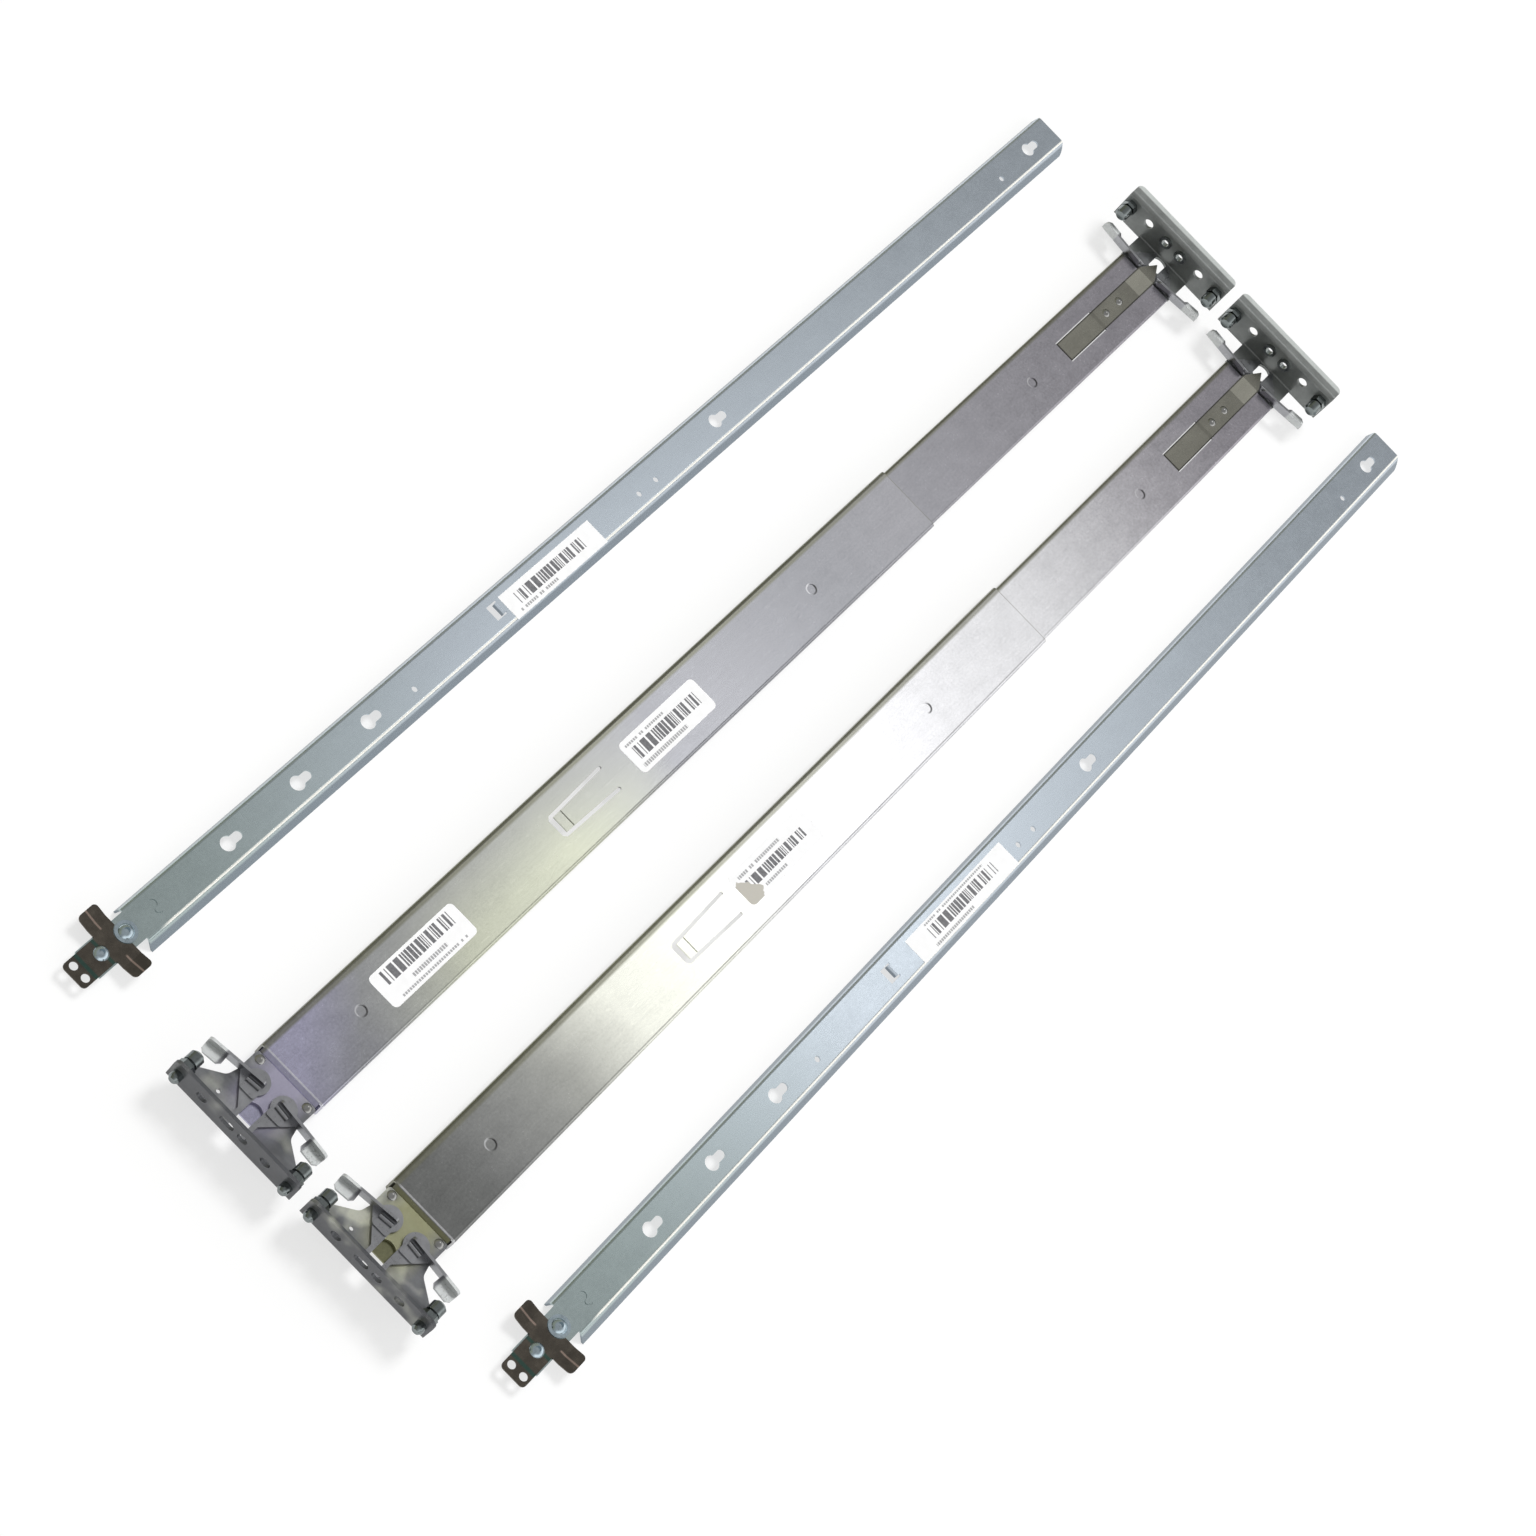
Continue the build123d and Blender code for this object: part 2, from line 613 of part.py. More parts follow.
def raised_foot():
    """The raised pad by a lever's pivot, with a bead along the wall."""
    length = LEVER_WALL_X - LEVER_PAD_START
    width = LEVER_PAD_OUT - LEVER_PAD_IN
    middle = Pos(LEVER_PAD_START + length / 2, LEVER_PAD_IN + width / 2)
    top = LEVER_SHEET + LEVER_PAD_RISE
    foot = slab(middle * RectangleRounded(length, width, LEVER_PAD_CORNER), LEVER_SHEET, top)
    bead_length = LEVER_BEAD_OUT - LEVER_BEAD_IN
    bead_middle = LEVER_BEAD_IN + bead_length / 2 - LEVER_WALL_IN
    bead = at(-LEVER_SHEET / 2 - LEVER_BEAD_SET, bead_middle, top) * Rot(90, 0, 0)
    foot += at(LEVER_WALL_X, LEVER_WALL_IN) * Rot(0, 0, LEVER_SLANT) * bead * Cylinder(LEVER_BEAD_RADIUS, bead_length)
    return foot - box_between(0, 2 * LEVER_WALL_X, 0, LEVER_WALL_LENGTH, -LEVER_HEIGHT, LEVER_SHEET / 2)


def lever(front):
    """The lever on the +Y side of a bracket, in the front frame, with its base on Z = 0."""
    tip = LEVER_FINGER_TIP if front else LEVER_FINGER_TIP + REAR_LEVER_SHIFT
    body = slab(lever_base(tip), 0, LEVER_SHEET)
    raised = raised_foot()
    wall_start = 0
    if not front:
        raised -= leaf_shadow()
        limit = REAR_END_SETBACK + REAR_LEVER_SHIFT - REAR_LEVER_GAP
        body -= box_between(limit, 2 * LEVER_WALL_X, 0, LEVER_WALL_LENGTH, -CUT, LEVER_SHEET + CUT)
        wall_start = LEAF_HALF + LEAF_LEVER_GAP - LEVER_WALL_IN
    body += raised
    body += at(LEVER_WALL_X, LEVER_WALL_IN) * Rot(0, 0, LEVER_SLANT) * lever_wall(wall_start)
    return body - post(LEVER_PIVOT_X, LEVER_PIVOT_Y, -CUT, LEVER_SHEET - PIVOT_COVER, PIVOT_RADIUS)


def lever_place(front, upper, piece):
    """Turns a piece of the front upper lever into that of another lever."""
    if not upper:
        piece = mirror(piece, Plane.XZ)
    if front:
        return at(0, 0, FRONT_PLATE_TOP + LEVER_SEAT_GAP) * piece
    place = at(RAIL_LENGTH + REAR_LEVER_SHIFT, 0, REAR_PLATE_TOP + LEVER_SEAT_GAP)
    return place * mirror(piece, Plane.YZ)


def placed_lever(front, upper):
    return lever_place(front, upper, lever(front))


def placed_pivot(front, upper):
    """A rivet fixed in the lever's underside; its head turns under the bracket's plate."""
    head = -PLATE - 2 * LEVER_SEAT_GAP
    x, y = LEVER_PIVOT_X, LEVER_PIVOT_Y
    rivet = post(x, y, head, LEVER_SHEET - PIVOT_COVER, PIVOT_RADIUS)
    rivet += post(x, y, head - PIVOT_HEAD_HEIGHT, head, PIVOT_HEAD)
    return lever_place(front, upper, rivet)


def domed_rivet(x, y, foot, seat, radius, head, height):
    """A rivet with a domed head seated at seat and a shank down to foot."""
    body = post(x, y, foot, seat, radius)
    ball = (head * head + height * height) / (2 * height)
    dome = at(x, y, seat + height - ball) * Sphere(ball)
    dome &= post(x, y, seat, seat + height + 1, head)
    return body + dome


def small_rivet(x, y, foot, seat, height):
    return domed_rivet(x, y, foot, seat, SMALL_RIVET_RADIUS, SMALL_RIVET_HEAD, height)


def ear_rivets():
    foot = CHANNEL_TOP - PLATE - SHEET
    return [
        small_rivet(EAR_RIVET_X, side * EAR_RIVET_Y, foot, FRONT_PLATE_TOP, EAR_RIVET_HEIGHT)
        for side in (-1, 1)
    ]


def leaf_rivet_places():
    return (LEAF_RIVET_X, LEAF_RIVET_X + LEAF_RIVET_PITCH)


def leaf_rivet_holes():
    bottom = REAR_PLATE_TOP - 2 * PLATE
    top = REAR_WEB_TOP + 2 * LEAF
    radius = SMALL_RIVET_RADIUS + SHANK_GAP
    return Part() + [post(x, 0, bottom, top, radius) for x in leaf_rivet_places()]


def leaf_spring():
    """A flat spring: a pad let into the web, a riveted strip and a raised pointed tip."""
    low = REAR_WEB_TOP - LEAF_PAD_DROP
    flat = REAR_WEB_TOP
    high = REAR_WEB_TOP + LEAF_LIFT
    ramp_end = LEAF_PAD_END - LEAF_PAD_MARGIN
    lower = [
        (LEAF_START, low),
        (ramp_end - LEAF_PAD_RAMP, low),
        (ramp_end, flat),
        (LEAF_LIFT_END - LEAF_LIFT_RUN, flat),
        (LEAF_LIFT_END, high),
        (LEAF_TIP, high),
    ]
    upper = [(x, z + LEAF) for x, z in reversed(lower)]
    side = make_face(Plane.XZ * Polyline(*lower, *upper, close=True))
    body = extrude(side, amount=LEAF_HALF, both=True)
    plan = make_face(
        Polyline(
            (LEAF_START, LEAF_HALF),
            (LEAF_TIP - LEAF_POINT, LEAF_HALF),
            (LEAF_TIP, 0),
            (LEAF_TIP - LEAF_POINT, -LEAF_HALF),
            (LEAF_START, -LEAF_HALF),
            close=True,
        )
    )
    body &= slab(plan, low - CUT, high + LEAF + CUT)
    return body - leaf_rivet_holes()


def leaf_rivets():
    """Two rivets through the spring, the rear web and the rear bracket's plate."""
    seat = REAR_WEB_TOP + LEAF
    foot = REAR_PLATE_TOP - PLATE
    return [small_rivet(x, 0, foot, seat, LEAF_RIVET_HEIGHT) for x in leaf_rivet_places()]


def inner_section():
    """Section of the inner rail: a web with two flared flanges, the -Y one wider."""
    low = -INNER_SHEET
    high = INNER_HEIGHT - INNER_SHEET / 2
    line = FilletPolyline(
        (-INNER_WEB_HALF - INNER_FLARE, low),
        (-INNER_WEB_HALF, high),
        (INNER_WEB_HALF, high),
        (INNER_WEB_HALF + INNER_NEAR_FLARE, low),
        radius=INNER_RADIUS,
    )
    reach = INNER_WEB_HALF + INNER_FLARE
    ground = Pos(0, -INNER_HEIGHT) * Rectangle(4 * reach, 2 * INNER_HEIGHT)
    return trace(line, line_width=INNER_SHEET) - ground


def keyhole(x):
    bottom, top = 0, INNER_HEIGHT + 1
    cut = post(x, 0, bottom, top, KEYHOLE_RADIUS)
    cut += box_between(x, x + KEYHOLE_RUN, -KEYHOLE_NECK / 2, KEYHOLE_NECK / 2, bottom, top)
    cut += post(x + KEYHOLE_RUN, 0, bottom, top, KEYHOLE_NECK / 2)
    return cut


def rear_corner_cuts():
    """Cutters that round the two rear corners of the inner rail in plan."""
    reach = INNER_WEB_HALF + INNER_FLARE
    corner = Pos(INNER_LENGTH, 0) * Rectangle(2 * INNER_CORNER, 4 * reach)
    corner -= Pos(INNER_LENGTH - 2 * INNER_CORNER, 0) * RectangleRounded(
        4 * INNER_CORNER, 2 * reach, INNER_CORNER
    )
    return slab(corner, -1, INNER_HEIGHT + 1)


def pressed_mark():
    """The S-shaped mark pressed into the inner rail's web, two half rings end to end."""
    rings = Sketch()
    for side in (-1, 1):
        ring = Circle(MARK_BEND + MARK_WIDTH / 2) - Circle(MARK_BEND - MARK_WIDTH / 2)
        half = Pos(-side * MARK_BEND, side * MARK_BEND) * Rectangle(2 * MARK_BEND, 2 * MARK_BEND)
        rings += Pos(MARK_X, side * MARK_BEND) * (ring - Pos(0, -side * MARK_BEND) * half)
    return rings


def inner_rail():
    """The rail that hangs on the server: keyholes, locating holes, a tab and a nose."""
    body = at(INNER_START) * extrude(Plane.YZ * inner_section(), amount=INNER_LENGTH - INNER_START)
    body = body - rear_corner_cuts()
    under = INNER_HEIGHT - INNER_SHEET
    body += box_between(NOSE_START, INNER_START + NOSE_LAP, -NOSE_HALF, NOSE_HALF, under, INNER_HEIGHT)
    for x in KEYHOLE_PLACES:
        body -= keyhole(x)
    for x in SMALL_HOLE_PLACES:
        body -= post(x, -SMALL_HOLE_SIDE, 0, INNER_HEIGHT + 1, SMALL_HOLE_RADIUS)
    body -= box_between(
        TAB_WINDOW_X - TAB_WINDOW_LENGTH / 2,
        TAB_WINDOW_X + TAB_WINDOW_LENGTH / 2,
        -TAB_WINDOW_WIDTH / 2,
        TAB_WINDOW_WIDTH / 2,
        0,
        INNER_HEIGHT + 1,
    )
    body -= slab(pressed_mark(), INNER_HEIGHT - MARK_DEPTH, INNER_HEIGHT + CUT)
    for x in (CLIP_RIVET_X, STUD_X):
        body -= post(x, 0, 0, INNER_HEIGHT + 1, DOME_SHANK + SHANK_GAP)
    return body


def window_tab():
    """A tab bent down into the channel from the rear edge of its window."""
    return box_between(
        TAB_WINDOW_X + TAB_WINDOW_LENGTH / 2 - INNER_SHEET,
        TAB_WINDOW_X + TAB_WINDOW_LENGTH / 2 + TAB_LAP,
        TAB_INSET - TAB_WINDOW_WIDTH / 2,
        TAB_WINDOW_WIDTH / 2 - TAB_INSET,
        INNER_HEIGHT - TAB_DROP,
        INNER_HEIGHT,
    )


def release_clip():
    """A cross-shaped leaf on the nose, with two thumb wings and a holed tongue."""
    seat = INNER_HEIGHT
    across = Polyline(
        (-CLIP_WING_HALF, seat + CLIP_WING_RISE),
        (-CLIP_CREASE, seat),
        (CLIP_CREASE, seat),
        (CLIP_WING_HALF, seat + CLIP_WING_RISE),
        (CLIP_WING_HALF, seat + CLIP_WING_RISE + CLIP),
        (CLIP_CREASE, seat + CLIP),
        (-CLIP_CREASE, seat + CLIP),
        (-CLIP_WING_HALF, seat + CLIP_WING_RISE + CLIP),
        close=True,
    )
    body = extrude(Plane.YZ * make_face(across), amount=CLIP_END)
    wing_length = CLIP_END - CLIP_WING_START
    wings = RectangleRounded(wing_length, 2 * CLIP_WING_HALF, CLIP_CORNER)
    tongue = RectangleRounded(CLIP_WING_START + wing_length / 2, 2 * CLIP_HALF, CLIP_CORNER)
    plan = Pos(CLIP_WING_START + wing_length / 2, 0) * wings
    plan += Pos((CLIP_WING_START + wing_length / 2) / 2, 0) * tongue
    body &= slab(plan, seat - 1, seat + CLIP_WING_RISE + CLIP + 1)
    for side in (-1, 1):
        body -= post(CLIP_HOLE_X, side * CLIP_HOLE_Y, seat - 1, seat + CLIP + 1, CLIP_HOLE_RADIUS)
    body -= post(CLIP_RIVET_X, 0, seat - 1, seat + CLIP + 1, DOME_SHANK + SHANK_GAP)
    body -= post(STUD_X, 0, seat - 1, seat + 4, STUD_WASHER + STUD_RELIEF)
    return body


def socket_rivet(x, foot, seat):
    """A domed fastener with a round socket in its head."""
    body = domed_rivet(x, 0, foot, seat, DOME_SHANK, DOME_RADIUS, DOME_HEIGHT)
    return body - post(x, 0, seat + DOME_SOCKET_FLOOR, seat + DOME_HEIGHT + CUT, DOME_SOCKET / 2)


def clip_rivet():
    foot = INNER_HEIGHT - INNER_SHEET - DOME_SHANK_TAIL
    return socket_rivet(CLIP_RIVET_X, foot, INNER_HEIGHT + CLIP)


def stop_stud():
    """The domed stud with its broad washer, behind the clip."""
    washer_top = INNER_HEIGHT + STUD_WASHER_HEIGHT
    foot = INNER_HEIGHT - INNER_SHEET - DOME_SHANK_TAIL
    body = socket_rivet(STUD_X, foot, washer_top)
    return body + post(STUD_X, 0, INNER_HEIGHT, washer_top, STUD_WASHER)


def write(name, pieces, x, y):
    """Moves the solids of one node to their place in the set and writes them to its file."""
    place = at(x - SET_CENTRE_X, y - SET_CENTRE_Y)
    solids = [solid for piece in pieces for solid in piece.solids()]
    node = Compound(children=[place * Solid(solid.wrapped) for solid in solids])
    export_step(node, f"parts/{name}.step")


def outer_pieces():
    pieces = {
        "front_section": [front_section()],
        "rear_section": [rear_section()],
        "front_bracket": [front_bracket()],
        "rear_bracket": [rear_bracket()],
        "front_pins": pins(front=True),
        "rear_pins": pins(front=False),
        "rear_inserts": inserts(),
        "ear_rivets": ear_rivets(),
        "leaf_spring": [leaf_spring()],
        "leaf_rivets": leaf_rivets(),
    }
    for end, front in (("front", True), ("rear", False)):
        for place, upper in (("upper", True), ("lower", False)):
            pieces[f"{end}_{place}_lever"] = [placed_lever(front, upper)]
            pieces[f"{end}_{place}_pivot"] = [placed_pivot(front, upper)]
    return pieces


def inner_pieces():
    return {
        "inner_rail": [inner_rail() + window_tab()],
        "release_clip": [release_clip()],
        "clip_rivet": [clip_rivet()],
        "stop_stud": [stop_stud()],
    }


def main():
    os.makedirs("parts", exist_ok=True)
    sides = {
        "left": (OUTER_OFFSET, LEFT_INNER_X, LEFT_INNER_Y),
        "right": (-OUTER_OFFSET, RIGHT_INNER_X, RIGHT_INNER_Y),
    }
    outer, inner = outer_pieces(), inner_pieces()
    for side, (outer_y, inner_x, inner_y) in sides.items():
        for name, pieces in outer.items():
            write(f"{side}_{name}", pieces, 0, outer_y)
        for name, pieces in inner.items():
            write(f"{side}_{name}", pieces, inner_x, inner_y)


main()
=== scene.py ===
import bpy
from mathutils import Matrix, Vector
from mathutils.bvhtree import BVHTree


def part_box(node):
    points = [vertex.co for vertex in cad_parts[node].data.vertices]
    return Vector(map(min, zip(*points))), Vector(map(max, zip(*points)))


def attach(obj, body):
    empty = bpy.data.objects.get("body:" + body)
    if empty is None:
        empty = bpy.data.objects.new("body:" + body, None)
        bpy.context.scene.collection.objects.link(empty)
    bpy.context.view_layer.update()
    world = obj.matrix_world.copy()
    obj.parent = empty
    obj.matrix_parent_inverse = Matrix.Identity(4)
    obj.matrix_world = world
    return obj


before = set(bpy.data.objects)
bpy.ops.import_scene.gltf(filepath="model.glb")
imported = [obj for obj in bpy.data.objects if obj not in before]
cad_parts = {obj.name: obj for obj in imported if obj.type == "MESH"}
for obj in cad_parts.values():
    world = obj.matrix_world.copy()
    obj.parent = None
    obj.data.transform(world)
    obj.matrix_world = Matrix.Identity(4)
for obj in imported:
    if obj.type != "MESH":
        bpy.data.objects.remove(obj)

bl_info = {
    "name": "Sliding rack rails",
    "version": (1, 0, 0),
    "blender": (4, 5, 0),
    "location": "View3D > Sidebar > Rails",
    "description": "Finishes, paper labels and a photo table for a pair of sliding rack rails",
    "category": "Object",
}

SIDES = ("left", "right")
MM = 0.001
# The drawing counts X from the front flange and Y from between the outer rails;
# the frame's origin is under the middle of the whole set.
SET_CENTRE = Vector((454.9, 10.0, 0.0))

# Places of the finishes, in metres. They count along from a piece's front end and across
# from its middle, unless a comment says otherwise. A fade goes from 0 at its first number to
# 1 at its second. A band has a middle, half its width, and the width of its soft border.
#
# Outer rails
TONGUE_FADE = (0.0338, 0.0342)
# A painted highlight along the crest of the step behind the tongue
CREST_HIGHLIGHT_BAND = (0.0349, 0.0004, 0.0003)
# Painted shade along the +Y bends
BEND_SHADE_FADE = (0.0172, 0.0186)
# From the front section's rear end. The lap band is a painted shadow line where that end meets the
# rear section.
LAP_SHADOW_BAND = (0.0004, 0.0005, 0.0004)
LAP_FADE = (0.0, 0.0002)
WORN_FADE = (-0.080, -0.005)
# The blooms of colour, whose borders sway this much. The side fade runs towards -Y and makes the
# straw band paler there, a painted highlight.
BLOOM_SWAY = 0.05
LEFT_LILAC_FADE = (0.50, 0.86)
LEFT_STRAW_BAND = (0.205, 0.045, 0.085)
LEFT_STRAW_SIDE_FADE = (-0.020, 0.012)
LEFT_VIOLET_FADE = (0.045, 0.085)
RIGHT_LILAC_FADE = (0.60, 0.80)
RIGHT_CREAM_BAND = (0.20, 0.06, 0.08)
RIGHT_DULL_FADES = ((0.060, 0.140), (0.140, 0.200))
# The front section's pressed marks behind its tip, and the rear section's before the leaf
DIMPLES = (0.0873, 0.4823)
REAR_DIMPLE = 0.0365
DIMPLE_RADIUS = 0.0032
DIMPLE_RIM = 0.0003
DIMPLE_SOFT = 0.0004
# In radii of a mark
CRESCENT_FADE = (0.1, 0.9)
#
# Inner rails. The middle of the web lies this far inside the left foot, and the fade of the
# flanks' painted shade counts from the top of the rail.
INNER_MIDDLE = 0.0127
INNER_FRONT_FADE = (0.08, 0.28)
INNER_FLANK_SHADE_FADE = (-0.0030, -0.0018)
# A painted highlight along the right bend, and where along the rail it starts
INNER_BEND_HIGHLIGHT_BAND = (-0.0102, 0.0004, 0.0004)
INNER_BEND_HIGHLIGHT_FADE = (0.042, 0.05)
#
# Brackets and levers. The rear flange's fade, a painted highlight, counts from its bracket's rear
# end.
# Painted shade on the front flange's face, and on the plate behind the flange
FLANGE_FADE = (0.0022, 0.0032)
ROOT_SHADE_FADE = (0.0035, 0.0150)
TINT_FADE = (0.008, 0.022)
TINT_BAND = (0.0, 0.008, 0.012)
# Painted highlight on the rear flange
REAR_FLANGE_FADE = (-0.0040, -0.0030)
THUMB_TAB_FADE = (0.0300, 0.0312)
#
# Leaf springs and release clips. The leaf's painted shade at its sides counts from its sides.
LEAF_SIDE_SHADE_FADE = (-0.0009, -0.0006)
LEAF_END_SHADE_FADE = (0.0005, 0.0008)
CLIP_GREEN_BANDS = ((0.0095, 0.0007, 0.0008), (0.0215, 0.0006, 0.0008))
CLIP_CREASE_BAND = (0.0295, 0.00035, 0.00035)
CLIP_WING_FADE = (0.0085, 0.0095)
#
# How far grit and wear darken and lighten a metal's colour
DARKEST = (0.60, 0.60, 0.60)
LIGHTEST = (1.40, 1.40, 1.40)
# Depth and strength of the bumps
METAL_BUMP = (0.00003, 0.20)
PAPER_BUMP = (0.0001, 0.25)
#
# Labels. A printed row is its start and end along the label, and its middle and half its
# height across it, as shares of the label. The first row holds bars, the others dashes.
LABEL_LIFT = 0.00001
INNER_LABEL_CORNER = 0.0006
CORNER_STEPS = 6
LABEL_ROWS = {
    "left_box_label": (
        (-0.40, 0.43, 0.22, 0.19), (-0.20, 0.22, -0.19, 0.055), (-0.38, 0.40, -0.38, 0.035),
    ),
    "left_slide_label": (
        (-0.44, 0.41, 0.02, 0.19), (-0.45, 0.05, 0.33, 0.035), (-0.44, 0.14, -0.34, 0.055),
    ),
    "right_slide_label": (
        (-0.42, 0.37, -0.03, 0.14), (-0.42, 0.14, 0.27, 0.045), (-0.26, 0.03, -0.33, 0.04),
    ),
    "left_inner_label": ((-0.405, 0.345, 0.05, 0.21), (-0.43, -0.02, -0.32, 0.05)),
    "right_inner_label": (
        (-0.33, 0.35, 0.04, 0.21), (-0.33, 0.29, 0.38, 0.035), (-0.35, 0.04, -0.36, 0.05),
    ),
}
# The label with a torn patch, and the patch's place and shape in shares of the label
TORN_LABEL = "right_slide_label"
TORN_MIDDLE = (-0.46, -0.28)
TORN_SHAPE = (1.9, 0.62)
TORN_REACH = 0.34
TORN_SWAY = 0.20
# Shares of the bars and of the dashes that stay blank, and how a dash fills its step
BAR_BLANKS = 0.45
DASH_BLANKS = 0.12
DASH_MODULES = 3.0
DASH_HALF = 0.36
DASH_INK = 0.7
# Keeps the rows' patterns apart
ROW_SHIFT = 1000.0
#
# Table, light and camera
TABLE_REACH = 9.0
SKY_LOW_FADE = (0.45, 0.75)
SKY_RIGHT_FADE = (0.12, 0.50)
SKY_LEFT_FADE = (0.12, 0.45)
SKY_HORIZON_FADE = (0.02, 0.14)
WHITE = (1.0, 1.0, 1.0)
WIDE_LAMP_PLACE = (1.2, -0.1, 2.1)
WIDE_LAMP_ANGLE = 0.35
CAMERA_PLACE = (-1.2303, -0.0098, 1.6520)
CAMERA_TURN = (0.4561, -0.4315, -0.8724)
CAMERA_LENS = 85.34
CAMERA_SENSOR = 36.0
CAMERA_REACH = 60.0


def placed(x, y):
    """A floor point of the drawing, in millimetres, as a point of the frame."""
    return (Vector((x, y, 0.0)) - SET_CENTRE) * MM


# ---------------------------------------------------------------- shader maths


def add_node(tree, kind, options=None, sockets=None):
    """Adds a node, sets its options, and links or sets its inputs."""
    made = tree.nodes.new(kind)
    for key, value in (options or {}).items():
        setattr(made, key, value)
    for key, value in (sockets or {}).items():
        source = value.socket if isinstance(value, Wire) else value
        if isinstance(source, bpy.types.NodeSocket):
            tree.links.new(source, made.inputs[key])
        else:
            made.inputs[key].default_value = source
    return made


class Wire:
    """A value in a material. Sums, products and the like of Wires add Math nodes."""

    def __init__(self, look, socket):
        self.look = look
        self.socket = socket

    def maths(self, operation, *others, clamp=False):
        made = self.look.node(
            "ShaderNodeMath",
            {"operation": operation, "use_clamp": clamp},
            dict(enumerate((self, *others))),
        )
        return Wire(self.look, made.outputs[0])

    def swapped(self, operation, other):
        made = self.look.node(
            "ShaderNodeMath", {"operation": operation}, {0: other, 1: self}
        )
        return Wire(self.look, made.outputs[0])

    def __add__(self, other):
        return self.maths("ADD", other)

    def __radd__(self, other):
        return self.swapped("ADD", other)

    def __sub__(self, other):
        return self.maths("SUBTRACT", other)

    def __rsub__(self, other):
        return self.swapped("SUBTRACT", other)

    def __mul__(self, other):
        return self.maths("MULTIPLY", other)

    def __truediv__(self, other):
        return self.maths("DIVIDE", other)

    def __gt__(self, other):
        return self.maths("GREATER_THAN", other)

    def __lt__(self, other):
        return self.maths("LESS_THAN", other)

    def far(self):
        """The distance from zero."""
        return self.maths("ABSOLUTE")

    def clamped(self):
        return self.maths("ADD", 0.0, clamp=True)

    def floor(self):
        return self.maths("FLOOR")

    def within(self, centre, half, soft):
        """1 near the centre, falling to 0 over the soft width past half."""
        return ((half + soft - (self - centre).far()) / soft).clamped()

    def over(self, low, high):
        """0 below low, 1 above high, straight between."""
        return ((self - low) / (high - low)).clamped()


class Look:
    """A material under construction, with Wires for its values and sockets for its colours."""

    def __init__(self, name, place="Object"):
        self.material = self.holder(name)
        self.material.use_nodes = True
        self.tree = self.material.node_tree
        self.tree.nodes.clear()
        self.place = self.node("ShaderNodeTexCoord").outputs[place]

    def holder(self, name):
        return bpy.data.materials.new(name)

    def node(self, kind, options=None, sockets=None):
        return add_node(self.tree, kind, options, sockets)

    def axes(self, source=None):
        """The X, Y and Z of a place, each as a wire."""
        split = self.node("ShaderNodeSeparateXYZ", None, {0: source or self.place})
        return [Wire(self, socket) for socket in split.outputs]

    def grain(self, scale, detail=2.0, rough=0.5, shift=(0.0, 0.0, 0.0)):
        """Smooth noise from 0 to 1, its features 1/scale metres on each axis."""
        at = self.node(
            "ShaderNodeMapping",
            {"vector_type": "POINT"},
            {"Vector": self.place, "Scale": scale, "Location": shift},
        )
        noise = self.node(
            "ShaderNodeTexNoise",
            None,
            {"Vector": at.outputs[0], "Scale": 1.0, "Detail": detail, "Roughness": rough},
        )
        return Wire(self, noise.outputs[0])

    def mix(self, factor, first, second, blend="MIX"):
        """Two colours mixed by a wire or a number."""
        made = self.node(
            "ShaderNodeMix",
            {"data_type": "RGBA", "blend_type": blend},
            {0: factor, 6: self.colour(first), 7: self.colour(second)},
        )
        return made.outputs[2]

    def tint(self, base, colour, mask, share=1.0):
        """Lays a share of a colour over another where the mask is 1."""
        return self.mix(mask * share, base, colour)

    def colour(self, value):
        """A colour of three numbers as a socket takes it; a socket stays as it is."""
        return value if isinstance(value, bpy.types.NodeSocket) else (*value[:3], 1.0)

    def bump(self, height, distance, strength):
        made = self.node(
            "ShaderNodeBump", None,
            {"Height": height, "Distance": distance, "Strength": strength},
        )
        return made.outputs[0]

    def finish(self, colour, roughness, metallic, normal):
        shader = self.node("ShaderNodeBsdfPrincipled", None, {
            "Base Color": self.colour(colour),
            "Roughness": roughness,
            "Metallic": metallic,
            "Normal": normal,
        })
        self.node("ShaderNodeOutputMaterial", None, {0: shader.outputs[0]})
        return self.material


class Sky(Look):
    """The world under construction, by its direction."""

    def __init__(self, name):
        super().__init__(name, "Generated")

    def holder(self, name):
        return bpy.data.worlds.new(name)


# ---------------------------------------------------------------- settings


def colour_setting(name, description, default):
    return bpy.props.FloatVectorProperty(
        name=name, description=description, default=default,
        size=3, min=0.0, max=1.0, subtype="COLOR",
    )


def amount(name, description, default, low=0.0, high=1.0):
    return bpy.props.FloatProperty(
        name=name, description=description, default=default,
        min=low, max=high, subtype="FACTOR",
    )


def length(name, description, default):
    return bpy.props.FloatProperty(
        name=name, description=description, default=default,
        min=0.0, unit="LENGTH", subtype="DISTANCE", precision=5,
    )


